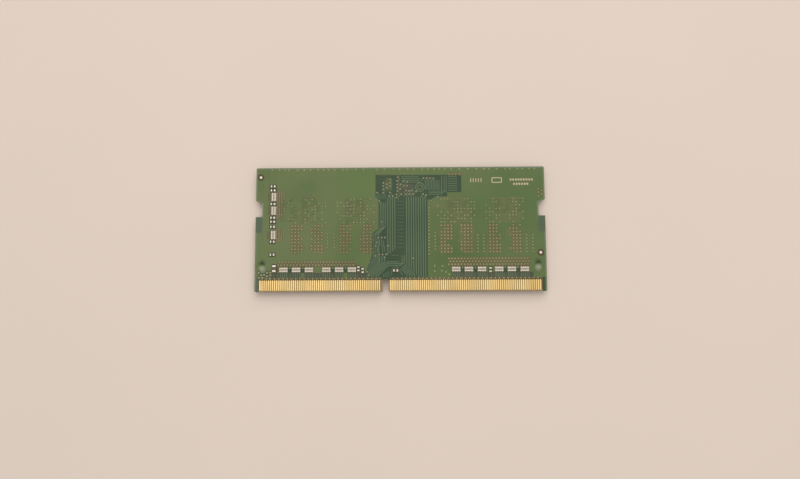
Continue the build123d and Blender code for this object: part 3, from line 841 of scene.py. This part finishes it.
CHIP_CLEARANCE = 0.16
FIDUCIAL_RING_RADIUS = 0.82
FIDUCIAL_SIDES = 24
DENT_RADIUS = 0.85
DENT_DEPTH = 0.045
DENT_SIDES = 28
DENT_RINGS = (1.95, 1.75, 1.6, 1.45, 1.3, 1.15, 1.0, 0.85, 0.7, 0.55, 0.4, 0.25, 0.1)
LIP_HEIGHT = 0.1
LIP_SPREAD = 0.42


def paint_ground(relief):
    """The pour, the copper-free fields in it and the opening over the contacts."""
    relief.paint("margin", board_outline())
    relief.paint("pour", pour_outline())
    inner = HALF_LENGTH - POUR_INSET
    relief.paint("brown", rectangle(-inner, inner, 0.0, POUR_LOW))
    row_low, row_high = CONTACT_ZONE
    key_low, key_high = KEY_X - KEY_CLEARANCE, KEY_X + KEY_CLEARANCE
    ends = (("strip", -inner, row_low), ("bare", key_low, key_high), ("bare", row_high, inner))
    for kind, low_x, high_x in ends:
        relief.paint(kind, rectangle(low_x, high_x, BELOW_EDGE, POUR_LOW))
    rows = ((row_low, key_low), (key_high, row_high))
    # a dark strip of bare resin above each row, which also paints the shade at the mask's edge
    for row in rows:
        relief.paint("resin", rectangle(*row, CONTACT_ZONE_TOP, RESIN_STRIP_TOP))
    for sides in (LEFT_FAN_OUT, RIGHT_FAN_OUT):
        relief.paint("fan", rectangle(*sides, POUR_LOW, FAN_OUT_TOP))
    relief.paint("bare", [Vector((x, above_edge(height))) for x, height in SIGNAL_FIELD])
    for kind, sides in PATCHES:
        relief.paint(kind, rectangle(*sides))
    strip_x, strip_low = LATCH_STRIP
    for side in (-1, 1):
        sides = sorted((side * strip_x, side * (HALF_LENGTH - STRIP_MARGIN)))
        relief.paint("strip", rectangle(*sides, strip_low, LATCH_LOW - STRIP_MARGIN))
    relief.paint(None, rectangle(row_low, row_high, BELOW_EDGE, CONTACT_ZONE_TOP))
    # the resin between the pads, darker as painted shade between them
    for row in rows:
        relief.paint("gap", rectangle(*row, CONTACT_LOW, CONTACT_ZONE_TOP))


def paint_etched_strips(relief):
    """Ragged stacks of level strips where the copper below is etched."""
    chance = random.Random(STRIP_SEED)
    for low_x, high_x, low, high in ETCHED_PATCHES:
        rows = max(2, round((high - low) / STRIP_PITCH))
        for row in range(rows):
            start = low_x + chance.uniform(-STRIP_JITTER, STRIP_JITTER)
            end = high_x + chance.uniform(-STRIP_JITTER, STRIP_JITTER)
            height = low + (high - low) * row / rows
            top = height + STRIP_PITCH * STRIP_SHARE
            relief.paint("warm", rectangle(start, end, height, top))


def paint_signals(relief):
    """The slots and lines of the signal field, a tail at each hole and two tuned lines."""
    for width, corners in SLOTS:
        relief.line(corners, width, "brown")
    for group in LINES:
        relief.lines(*group)
    for x, height in ESCAPE_HOLES:
        end_x = x + (TAIL_REACH if x < 0 else -TAIL_REACH)
        tail = [(x, height), (end_x, height - TAIL_BEND), (end_x, height - TAIL_END)]
        relief.line(tail, TAIL_WIDTH)
    for radius, kind in COIL_RINGS:
        relief.paint(kind, disc(*COIL, radius, COIL_SIDES))
    path = []
    for turn in range(MEANDER_TURNS):
        ends = MEANDER_ENDS if turn % 2 else MEANDER_ENDS[::-1]
        path += [(MEANDER_X + MEANDER_PITCH * turn, height) for height in ends]
    relief.line(path, MEANDER_WIDTH)


def paint_fan_out(relief, chips):
    """Short traces from the contacts up to the resistor arrays, and between them."""
    low = POUR_LOW + FAN_OUT_START
    for low_x, high_x in (LEFT_FAN_OUT, RIGHT_FAN_OUT):
        for step in range(int((high_x - low_x) / FAN_OUT_PITCH)):
            x = low_x + FAN_OUT_PITCH * (step + 0.5)
            relief.line([(x, low), (x, FAN_OUT_TOP - FAN_OUT_SHORT)], FAN_OUT_WIDTH)
    for x in GREEN_GAPS:
        sides = (x - GREEN_GAP_REACH, x + GREEN_GAP_REACH)
        relief.paint("pour", rectangle(*sides, POUR_LOW, FAN_OUT_TOP + GREEN_GAP_RISE))
    for chip in chips:
        if chip.in_row():
            relief.paint("fan", rectangle(*chip.sides(), POUR_LOW, FAN_OUT_TOP))
            for x in chip.ways(chip.middle.x):
                relief.line([(x, low), (x, FAN_OUT_TOP)], FEED_WIDTH)


def paint_dashes(relief, chance):
    """Short level gaps between the copper strips that cross the pour."""
    for low_x, high_x, low, high in DASH_FIELDS:
        for row in range(int((high - low) / DASH_PITCH)):
            height = low + DASH_PITCH * row
            x = low_x + chance.uniform(0.0, DASH_GAPS[0])
            while x + DASH_LENGTHS[0] < high_x:
                end = min(x + chance.uniform(*DASH_LENGTHS), high_x)
                relief.line([(x, height), (end, height)], DASH_WIDTH, "dull")
                x = end + chance.uniform(*DASH_GAPS)


def paint_chip_holes(relief, chance):
    """The plated holes over each memory chip, close below and sparser above."""
    heights = [HOLE_FIRST_HEIGHT + HOLE_PITCH * row for row in range(HOLE_ROWS)]
    for chip_x in DRAM_X:
        for offset in HOLE_COLUMNS:
            likely = INNER_CHANCE if abs(offset) < INNER_COLUMN else OUTER_CHANCE
            for height in heights[:HOLE_DENSE_ROWS]:
                if chance.random() < likely:
                    relief.hole(chip_x + offset, height)
        for step in range(SPARSE_COLUMNS):
            x = chip_x + HOLE_PITCH * (step - (SPARSE_COLUMNS - 1) / 2)
            for height in heights[HOLE_DENSE_ROWS:]:
                if chance.random() < SPARSE_CHANCE:
                    relief.hole(x, height, "dull", SMALL_RING_RADIUS)
    for x, low, count in EXTRA_COLUMNS:
        places = [(x, low + HOLE_PITCH * row) for row in range(count)]
        relief.holes(places, "dull", SMALL_RING_RADIUS)


def paint_dents(relief):
    """Rings that give the two dents their round shape."""
    for x, height in DENTS:
        for share in DENT_RINGS:
            relief.paint("pour", disc(x, height, DENT_RADIUS * share, DENT_SIDES))


def paint_other_holes(relief):
    """Stitching round the edge, rows over the arrays and scattered holes."""
    relief.holes([(x, STITCH_HEIGHT) for x in STITCH_X], None)
    relief.holes(SHORT_STITCH)
    relief.holes(ESCAPE_HOLES + BAND_HOLES, *FIELD_LOOK)
    relief.holes(CORNER_HOLES, *CORNER_LOOK)
    relief.holes(EDGE_HOLES, *EDGE_LOOK)
    relief.holes(POUR_HOLES, None)
    for x in GAP_HOLES:
        field = rectangle(x - GAP_REACH, x + GAP_REACH, FAN_OUT_TOP, GAP_TOP, FIELD_RADIUS)
        relief.paint("bare", field)
        relief.hole(x, GAP_HEIGHT, None)
    for (low_x, high_x), heights in ARRAY_HOLE_ROWS:
        for row, height in enumerate(heights):
            for step in range(int((high_x - low_x) / ARRAY_HOLE_PITCH)):
                x = low_x + ARRAY_HOLE_PITCH * (step + 0.5 * (row % 2))
                relief.hole(x, height, *ARRAY_LOOK)
    first_x, pitch, count = CONTACT_HOLES
    for step in range(count):
        x = first_x + pitch * step
        if abs(x - KEY_X) > CONTACT_HOLE_CLEARANCE:
            relief.hole(x, CONTACT_HOLE_HEIGHT, None)


def paint_herringbone(relief, chips):
    """Staggered holes right of each array in the column, and traces left of it."""
    for chip in chips:
        if chip.kind is not ARRAY or chip.turned:
            continue
        middle, end = chip.middle.y - EDGE_Y, chip.middle.x - chip.length / 2
        reach = chip.width / 2
        start = end - SIDE_FEED
        relief.paint("brown", rectangle(start, end, middle - reach, middle + reach, FIELD_RADIUS))
        for height in chip.ways(middle):
            relief.line([(start + SIDE_FEED_SHORT, height), (end, height)], FEED_WIDTH)
        low, high = middle - SIDE_PATCH_RISE, middle + SIDE_PATCH_RISE
        relief.paint("brown", rectangle(*SIDE_PATCH, low, high, SIDE_PATCH_RADIUS))
        for row in range(SIDE_ROWS):
            for column, (x, ring) in enumerate(SIDE_COLUMNS):
                rise = row - SIDE_ROWS / 2 + 0.5 * (column % 2)
                relief.hole(x, middle + SIDE_HOLE_PITCH * rise, ring, *SIDE_HOLE_RADII)


def paint_array_feeds(relief, chips):
    """The traces that lead up from each array in the row, on bared laminate."""
    for chip in chips:
        if not chip.in_row():
            continue
        low = chip.middle.y - EDGE_Y + chip.length / 2
        relief.paint("brown", rectangle(*chip.sides(), low, FEED_HIGH, FIELD_RADIUS))
        for x in chip.ways(chip.middle.x):
            relief.line([(x, low), (x, FEED_HIGH - FEED_SHORT)], THIN_FEED_WIDTH)


def paint_windows(relief, chips):
    """The mask's openings round every chip and both fiducials."""
    for chip in chips:
        if chip.kind is not ARRAY:
            relief.paint("resin", chip.window(CHIP_CLEARANCE))
    for chip in chips:
        relief.paint("brown", chip.window())
    for low, high in solid_boxes("back_fiducials"):
        middle = (low + high) / 2
        ring = disc(middle.x, middle.y - EDGE_Y, FIDUCIAL_RING_RADIUS, FIDUCIAL_SIDES)
        relief.paint("resin", ring)


# ---- chips on the back face
END_PLATE = 0.02
WAY_PITCH = 0.5
WINDOW_MARGIN = 0.06
QUARTERS = ((-1, -1), (1, -1), (1, 1), (-1, 1))  # signs of a rectangle's corners

# Kinds of chip: how many ways it has, whether they lie along its long side, how far an
# end cap reaches over the chip and how wide it is.
ARRAY = {"ways": 4, "ways_along": True, "terminal": 0.27, "cap": 0.32}
SINGLE = {"ways": 1, "ways_along": False, "terminal": 0.24, "cap": 0.5}
CORNER = {"ways": 1, "ways_along": False, "terminal": 0.34, "cap": 0.8}
ARRAY_NODES = [f"bottom_resistor_array_{n:02d}" for n in range(1, 13)]
ARRAY_NODES += [f"side_resistor_array_{n:02d}" for n in range(1, 4)]

# Bodies, end caps, solder, coats and marks.  A pair gives a value along the chip, then
# one across it; a fillet's section is its place across the land and its share of the rise.
NOTCH_DEPTH = 0.06
NOTCH_HALF = 0.05
NOTCHED_BEVEL = 0.008
BLOCK_RADIUS = 0.03
BLOCK_BEVEL = 0.02
CAP_LOW_RADIUS = 0.04
CAP_TOP_RADIUS = 0.05
CAP_EDGE = 0.015
CAP_SHRINK = 0.012
FILLET_REACH = 0.13
FILLET_RISE = 0.2
FILLET_SPARE = 0.03
FILLET_STEPS = 4
FILLET_PULL = (0.025, 0.1)  # how far out, and at what share of the rise
FILLET_SECTIONS = ((-1.0, 0.25), (-0.8, 0.75), (-0.4, 1.0), (0.4, 1.0), (0.8, 0.75), (1.0, 0.25))
SOLDER_FILM = 0.03
GLAZE_SPARE = (0.01, 0.015)
GLAZE_RADIUS = 0.05
GLAZE_BEVEL = 0.008
GLAZE_THICKNESS = 0.025
MARK_COUNT = 3
MARK_PITCH = 0.36
MARK_HALF = (0.11, 0.1)
MARK_SUNK = 0.002
MARK_RISE = 0.004


class Chip:
    """A chip read from its CAD body: its middle, its turn and its sizes."""

    def __init__(self, low, high, kind):
        self.middle = (low + high) / 2
        self.kind = kind
        spread_x, spread_y = high.x - low.x, high.y - low.y
        self.turned = (spread_y > spread_x) != kind["ways_along"]
        self.length = (spread_y if self.turned else spread_x) + 2 * END_PLATE
        self.width = spread_x if self.turned else spread_y
        self.seat = low.z - END_PLATE
        self.height = high.z - low.z + 2 * END_PLATE

    def put(self, along, across, up=0.0):
        """A point of the chip's own frame, in the board's frame."""
        if self.turned:
            along, across = -across, along
        return (self.middle.x + along, self.middle.y + across, self.seat + up)

    def window(self, spare=0.0):
        """The opening that mask and copper leave round the chip's solder."""
        reach = self.length / 2 + FILLET_REACH + WINDOW_MARGIN + spare
        half = self.width / 2 + WINDOW_MARGIN + spare
        return [Vector(self.put(a * reach, b * half)[:2]) for a, b in QUARTERS]

    def in_row(self):
        """Whether this is an array of the row above the contacts."""
        return self.kind is ARRAY and self.turned

    def sides(self):
        """Where an array of the row starts and ends along the board."""
        return self.middle.x - self.width / 2, self.middle.x + self.width / 2

    def ways(self, start=0.0):
        """Where each way of the chip lies across it, counted from a start."""
        count = self.kind["ways"]
        return [start + (way - (count - 1) / 2) * WAY_PITCH for way in range(count)]


def prism(chip, outline, low, high, bevel, shape):
    """A bevelled slab of (along, across) points in a chip's own frame."""
    levels = [(outline, low + bevel), (outline, high - bevel), (inset(outline, bevel), high)]
    shape.stack(levels, chip.put)


def array_body(chip, shape):
    """The ceramic strip of an array, notched between its ways."""
    half_length, half_width = chip.length / 2 - END_PLATE, chip.width / 2
    floor = half_length - NOTCH_DEPTH
    ways = chip.ways()
    right = [(half_length, -half_width)]
    for first, second in zip(ways, ways[1:]):
        gap = (first + second) / 2
        right += [
            (half_length, gap - NOTCH_HALF), (floor, gap - NOTCH_HALF / 2),
            (floor, gap + NOTCH_HALF / 2), (half_length, gap + NOTCH_HALF),
        ]
    right.append((half_length, half_width))
    left = [(-along, -across) for along, across in right]
    outline = [Vector(corner) for corner in right + left]
    prism(chip, outline, END_PLATE, chip.height - END_PLATE, NOTCHED_BEVEL, shape)


def plain_body(chip, shape):
    """The ceramic block of a single chip, with softened edges."""
    reach, half = chip.length / 2 - END_PLATE, chip.width / 2
    outline = rounded_polygon([(a * reach, b * half, BLOCK_RADIUS) for a, b in QUARTERS], 2)
    prism(chip, outline, END_PLATE, chip.height - END_PLATE, BLOCK_BEVEL, shape)


def loft_ends(chip, sections, shape):
    """At both ends of every way, a skin through (place, profile) sections across it."""
    for across in chip.ways():
        for side in (-1, 1):
            loops = [
                [chip.put(side * along, side * (across + place), up) for along, up in profile]
                for place, profile in sections
            ]
            shape.loft(loops)


def end_caps(chip, shape):
    """C-shaped tinned ends that wrap over the ceramic, with rounded corners."""
    end, top = chip.length / 2, chip.height
    inner, plate_end, plate_top = end - chip.kind["terminal"], end - END_PLATE, top - END_PLATE
    low_corner, high_corner = (end, 0, CAP_LOW_RADIUS), (end, top, CAP_TOP_RADIUS)
    outer = rounded_polygon([(inner, 0, 0), low_corner, high_corner, (inner, top, 0)], 3)
    hollow = ((inner, plate_top), (plate_end, plate_top), (plate_end, END_PLATE), (inner, END_PLATE))
    profile = outer + [Vector(corner) for corner in hollow]
    half = chip.kind["cap"] / 2
    places = ((-half, CAP_SHRINK), (CAP_EDGE - half, 0.0), (half - CAP_EDGE, 0.0), (half, CAP_SHRINK))
    sections = [
        (place, [(point.x - shrink, point.y) for point in profile]) for place, shrink in places
    ]
    loft_ends(chip, sections, shape)


def solder_fillets(chip, shape):
    """Lands with solder that climbs the end caps in a hollow curve."""
    end, low = chip.length / 2, BASE_Z - chip.seat
    inner, outer = end - chip.kind["terminal"], end + FILLET_REACH
    half = chip.kind["cap"] / 2 + FILLET_SPARE
    pull_x, pull_share = FILLET_PULL
    sections = []
    for share, rise_share in FILLET_SECTIONS:
        rise = FILLET_RISE * rise_share
        start = Vector((outer, -SOLDER_FILM))
        pull = Vector((end + pull_x, -SOLDER_FILM + pull_share * rise))
        top = Vector((end, rise))
        profile = [Vector((inner, low)), Vector((outer, low))]
        for step in range(FILLET_STEPS + 1):
            t = step / FILLET_STEPS
            profile.append(start * (1 - t) ** 2 + pull * 2 * t * (1 - t) + top * t * t)
        profile += [Vector((end, 0.0)), Vector((inner, 0.0))]
        sections.append((share * half, profile))
    loft_ends(chip, sections, shape)


def glaze_coat(chip, shape):
    """The coat printed between the end caps."""
    spare_along, spare_across = GLAZE_SPARE
    reach = chip.length / 2 - chip.kind["terminal"] - spare_along
    half = chip.width / 2 - spare_across
    outline = rounded_polygon([(a * reach, b * half, GLAZE_RADIUS) for a, b in QUARTERS], 3)
    low = chip.height - END_PLATE
    prism(chip, outline, low - GLAZE_BEVEL, low + GLAZE_THICKNESS, GLAZE_BEVEL, shape)


def array_marks(chip, shape):
    """Plain dashes on an array's coat, in place of its value code."""
    low = chip.height - END_PLATE + GLAZE_THICKNESS
    half_along, half_across = MARK_HALF
    for step in range(MARK_COUNT):
        across = (step - (MARK_COUNT - 1) // 2) * MARK_PITCH
        outline = [Vector((a * half_along, across + b * half_across)) for a, b in QUARTERS]
        prism(chip, outline, low - MARK_SUNK, low + MARK_RISE, MARK_SUNK, shape)


def gathered(make, chips):
    """One shape with what a function makes for each of these chips."""
    shape = Shape()
    for chip in chips:
        make(chip, shape)
    return shape


def make_chips():
    """Every chip on the back face, in pieces that stand for their CAD nodes."""
    arrays = [Chip(*box_mm(node), ARRAY) for node in ARRAY_NODES]
    singles = [Chip(*box, SINGLE) for box in solid_boxes("back_chip_resistors")]
    corner = Chip(*box_mm("corner_capacitor"), CORNER)
    chips = arrays + singles + [corner]
    for node, chip in zip(ARRAY_NODES, arrays):
        name = node.replace("resistor_array", "array_body")
        finish_piece(name, gathered(array_body, [chip]), [ALUMINA], "white_ceramic", [node])
    # name, function, chips, material, slot and replaced node of each other piece
    pieces = (
        ("array_end_caps", end_caps, arrays, ARRAY_TIN, "tinned_terminal", "array_terminals"),
        ("chip_end_caps", end_caps, singles + [corner], TIN, "tinned_terminal", "back_chip_terminals"),
        ("solder_fillets", solder_fillets, chips, SOLDER, "solder", "back_solder_joints"),
        ("array_coats", glaze_coat, arrays, PALE_GLAZE, "pale_glaze", "array_glaze"),
        ("array_dashes", array_marks, arrays, MARK_GLAZE, "dark_glaze", None),
        ("chip_resistor_bodies", plain_body, singles, ALUMINA, "white_ceramic", "back_chip_resistors"),
        ("chip_resistor_coats", glaze_coat, singles, DARK_GLAZE, "dark_glaze", "back_chip_glaze"),
        ("corner_capacitor_body", plain_body, [corner], BROWN_CERAMIC, "brown_ceramic", "corner_capacitor"),
    )
    for name, make, group, material, slot, node in pieces:
        replaced = [node] if node else []
        smooth = make is solder_fillets
        finish_piece(name, gathered(make, group), [material], slot, replaced, smooth)
    return chips


# ---- contacts and fiducials
NECK_WIDTH = 0.14
NECK_REACH = 0.1
PAD_RADIUS = 0.05
PAD_BEVEL = 0.012
DISC_SIDES = 28
# Each ring of the dome: its share of the radius and its height over the bare disc.
DOME = ((1.0, -0.012), (0.93, 0.002), (0.7, 0.014), (0.35, 0.021), (0.05, 0.023))


def contact_pad(low, high, upright, shape):
    """One gold pad with rounded corners and the neck that feeds it."""
    middle = (low.x + high.x) / 2
    neck_low, neck_high = middle - NECK_WIDTH / 2, middle + NECK_WIDTH / 2
    tip = high.y + NECK_REACH
    corners = [
        (low.x, low.y, PAD_RADIUS), (high.x, low.y, PAD_RADIUS), (high.x, high.y, PAD_RADIUS),
        (neck_high, high.y, 0), (neck_high, tip, 0), (neck_low, tip, 0), (neck_low, high.y, 0),
        (low.x, high.y, PAD_RADIUS),
    ]
    outline = rounded_polygon(corners, 3)
    drawn_in = inset(outline, PAD_BEVEL)
    if upright:
        shape.stack([(outline, low.z), (outline, high.z - PAD_BEVEL), (drawn_in, high.z)])
    else:
        shape.stack([(drawn_in, low.z), (outline, low.z + PAD_BEVEL), (outline, high.z)])


def make_contacts():
    """Both rows of gold contacts on both faces."""
    for side in ("back", "front"):
        for row in ("short_row", "long_row"):
            node = f"{side}_contacts_{row}"
            shape = Shape()
            for low, high in solid_boxes(node):
                contact_pad(low, high, side == "back", shape)
            finish_piece(f"{side}_gold_{row}", shape, [GOLD], "gold_plating", [node])


def make_fiducials():
    """A domed, solder-coated disc at each fiducial."""
    shape = Shape()
    for low, high in solid_boxes("back_fiducials"):
        middle, radius = (low + high) / 2, (high.x - low.x) / 2
        rings = [(1.0, low.z)] + [(share, high.z + rise) for share, rise in DOME]
        height = middle.y - EDGE_Y
        shape.stack([(disc(middle.x, height, radius * share, DISC_SIDES), z) for share, z in rings])
    finish_piece("fiducial_discs", shape, [FIDUCIAL_TIN], "solder", ["back_fiducials"], smooth=True)


def make_relief(chips):
    """The back face's copper, traces and mask as one stepped skin."""
    chance = random.Random(DASH_AND_HOLE_SEED)
    relief = Relief()
    paint_ground(relief)
    paint_etched_strips(relief)
    paint_signals(relief)
    paint_fan_out(relief, chips)
    paint_dents(relief)
    paint_herringbone(relief, chips)
    paint_dashes(relief, chance)
    paint_chip_holes(relief, chance)
    paint_array_feeds(relief, chips)
    paint_other_holes(relief)
    paint_windows(relief, chips)
    materials = [material for material, _ in KINDS.values()]
    replaced = ["back_solder_mask", "back_copper_pour", "back_signal_traces"]
    finish_piece("back_face_relief", relief.build(), materials, "solder_mask", replaced)


# ---- carried-over CAD nodes
def dress(node, material, bevel=0.0):
    """Give a CAD node its material and, where it has sharp corners, a bevel."""
    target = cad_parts[node]
    target.data.materials.clear()
    target.data.materials.append(material)
    if bevel:
        weld = target.modifiers.new("weld", "WELD")
        weld.merge_threshold = WELD_DISTANCE
        edge = target.modifiers.new("soft_edges", "BEVEL")
        edge.width = bevel * MM
        edge.segments = 2
        edge.limit_method = "ANGLE"


def dress_cad():
    """Materials for every CAD node that is still shown."""
    dress("laminate_core", LAMINATE)
    for node in ("back_prepreg", "front_prepreg"):
        dress(node, PREPREG)
    for node in ("ground_plane", "power_plane", "front_copper_pour"):
        dress(node, COPPER)
    dress("front_solder_mask", POUR)
    dress("back_printed_marks", INK)
    dress("front_capacitors", BROWN_CERAMIC, bevel=0.02)
    dress("front_capacitor_terminals", TIN, bevel=0.02)
    dress("front_solder_joints", SOLDER)
    dress("data_chip_package", MOULDING, bevel=0.03)
    dress("data_chip_leads", SOLDER, bevel=0.01)
    dress("label", PAPER)
    for number in range(1, 5):
        dress(f"dram_package_{number}", MOULDING, bevel=0.04)
        dress(f"dram_substrate_{number}", SUBSTRATE, bevel=0.01)
        dress(f"dram_die_{number}", SILICON)
        dress(f"dram_solder_balls_{number}", SOLDER)


# ---- stage: the camera in millimetres and degrees, the rest in metres
CAMERA_PLACE = (2.13, -19.51, 157.01)
CAMERA_TURN = (6.237, 0.824, -0.228)
LENS = 29.25
SENSOR = 36.0
CLIP_START = 0.005
CLIP_END = 10.0
FLAT_RADIUS = 0.45
SWEEP_RADIUS = 1.5
SWEEP_STEPS = 12
SWEEP_DEGREES = 50
SWEEP_SIDES = 64
ROOM_COLOUR = (1.0, 0.98, 0.96, 1)
ROOM_STRENGTH = 0.38

# Name, place, size, power and colour of each soft light.
LIGHTS = (
    ("window_light", (0.06, 0.42, 0.55), 0.6, 2.0, (1.0, 0.98, 0.96)),
    ("overhead_light", (0.1, -0.05, 0.95), 1.0, 2.75, (1.0, 0.985, 0.965)),
    ("left_card", (-0.36, 0.12, 0.95), 0.45, 0.6, (1.0, 0.985, 0.965)),
)


def make_floor():
    """The pale surface, flat round the module and swept up far from it on every side."""
    profile = [(FLAT_RADIUS, 0.0)]
    for step in range(1, SWEEP_STEPS + 1):
        turn = math.radians(SWEEP_DEGREES * step / SWEEP_STEPS)
        rise = SWEEP_RADIUS * (1 - math.cos(turn))
        profile.append((FLAT_RADIUS + SWEEP_RADIUS * math.sin(turn), rise))
    corners = [
        (radius * math.cos(turn), radius * math.sin(turn), z)
        for radius, z in profile
        for turn in (math.tau * side / SWEEP_SIDES for side in range(SWEEP_SIDES))
    ]
    faces = [tuple(range(SWEEP_SIDES))]
    for level in range(SWEEP_STEPS):
        low, high = level * SWEEP_SIDES, (level + 1) * SWEEP_SIDES
        for side in range(SWEEP_SIDES):
            after = (side + 1) % SWEEP_SIDES
            faces.append((low + after, low + side, high + side, high + after))
    floor = add_mesh("floor", corners, faces, [FLOOR], True)


def area_light(name, place, size, power, colour):
    """A soft square light that faces the module."""
    data = bpy.data.lights.new(name, "AREA")
    data.shape = "SQUARE"
    data.size = size
    data.energy = power
    data.color = colour
    light = add_object(name, data)
    light.location = place
    light.rotation_euler = (-Vector(place)).to_track_quat("-Z", "Y").to_euler()


def make_lights():
    """A soft light from behind the board, one overhead, a card at the left and a pale room."""
    for light in LIGHTS:
        area_light(*light)
    world = bpy.data.worlds.new("pale_room")
    world.use_nodes = True
    background = world.node_tree.nodes["Background"]
    background.inputs["Color"].default_value = ROOM_COLOUR
    background.inputs["Strength"].default_value = ROOM_STRENGTH
    bpy.context.scene.world = world


def make_camera():
    """The camera, above the module and a little towards the contact edge."""
    data = bpy.data.cameras.new("camera")
    data.sensor_width = SENSOR
    data.lens = LENS
    data.clip_start = CLIP_START
    data.clip_end = CLIP_END
    camera = add_object("camera", data)
    camera.location = [value * MM for value in CAMERA_PLACE]
    camera.rotation_euler = [math.radians(value) for value in CAMERA_TURN]
    bpy.context.scene.camera = camera


make_relief(make_chips())
make_contacts()
make_fiducials()
dress_cad()
make_floor()
make_lights()
make_camera()
bpy.context.scene.view_settings.view_transform = "Standard"
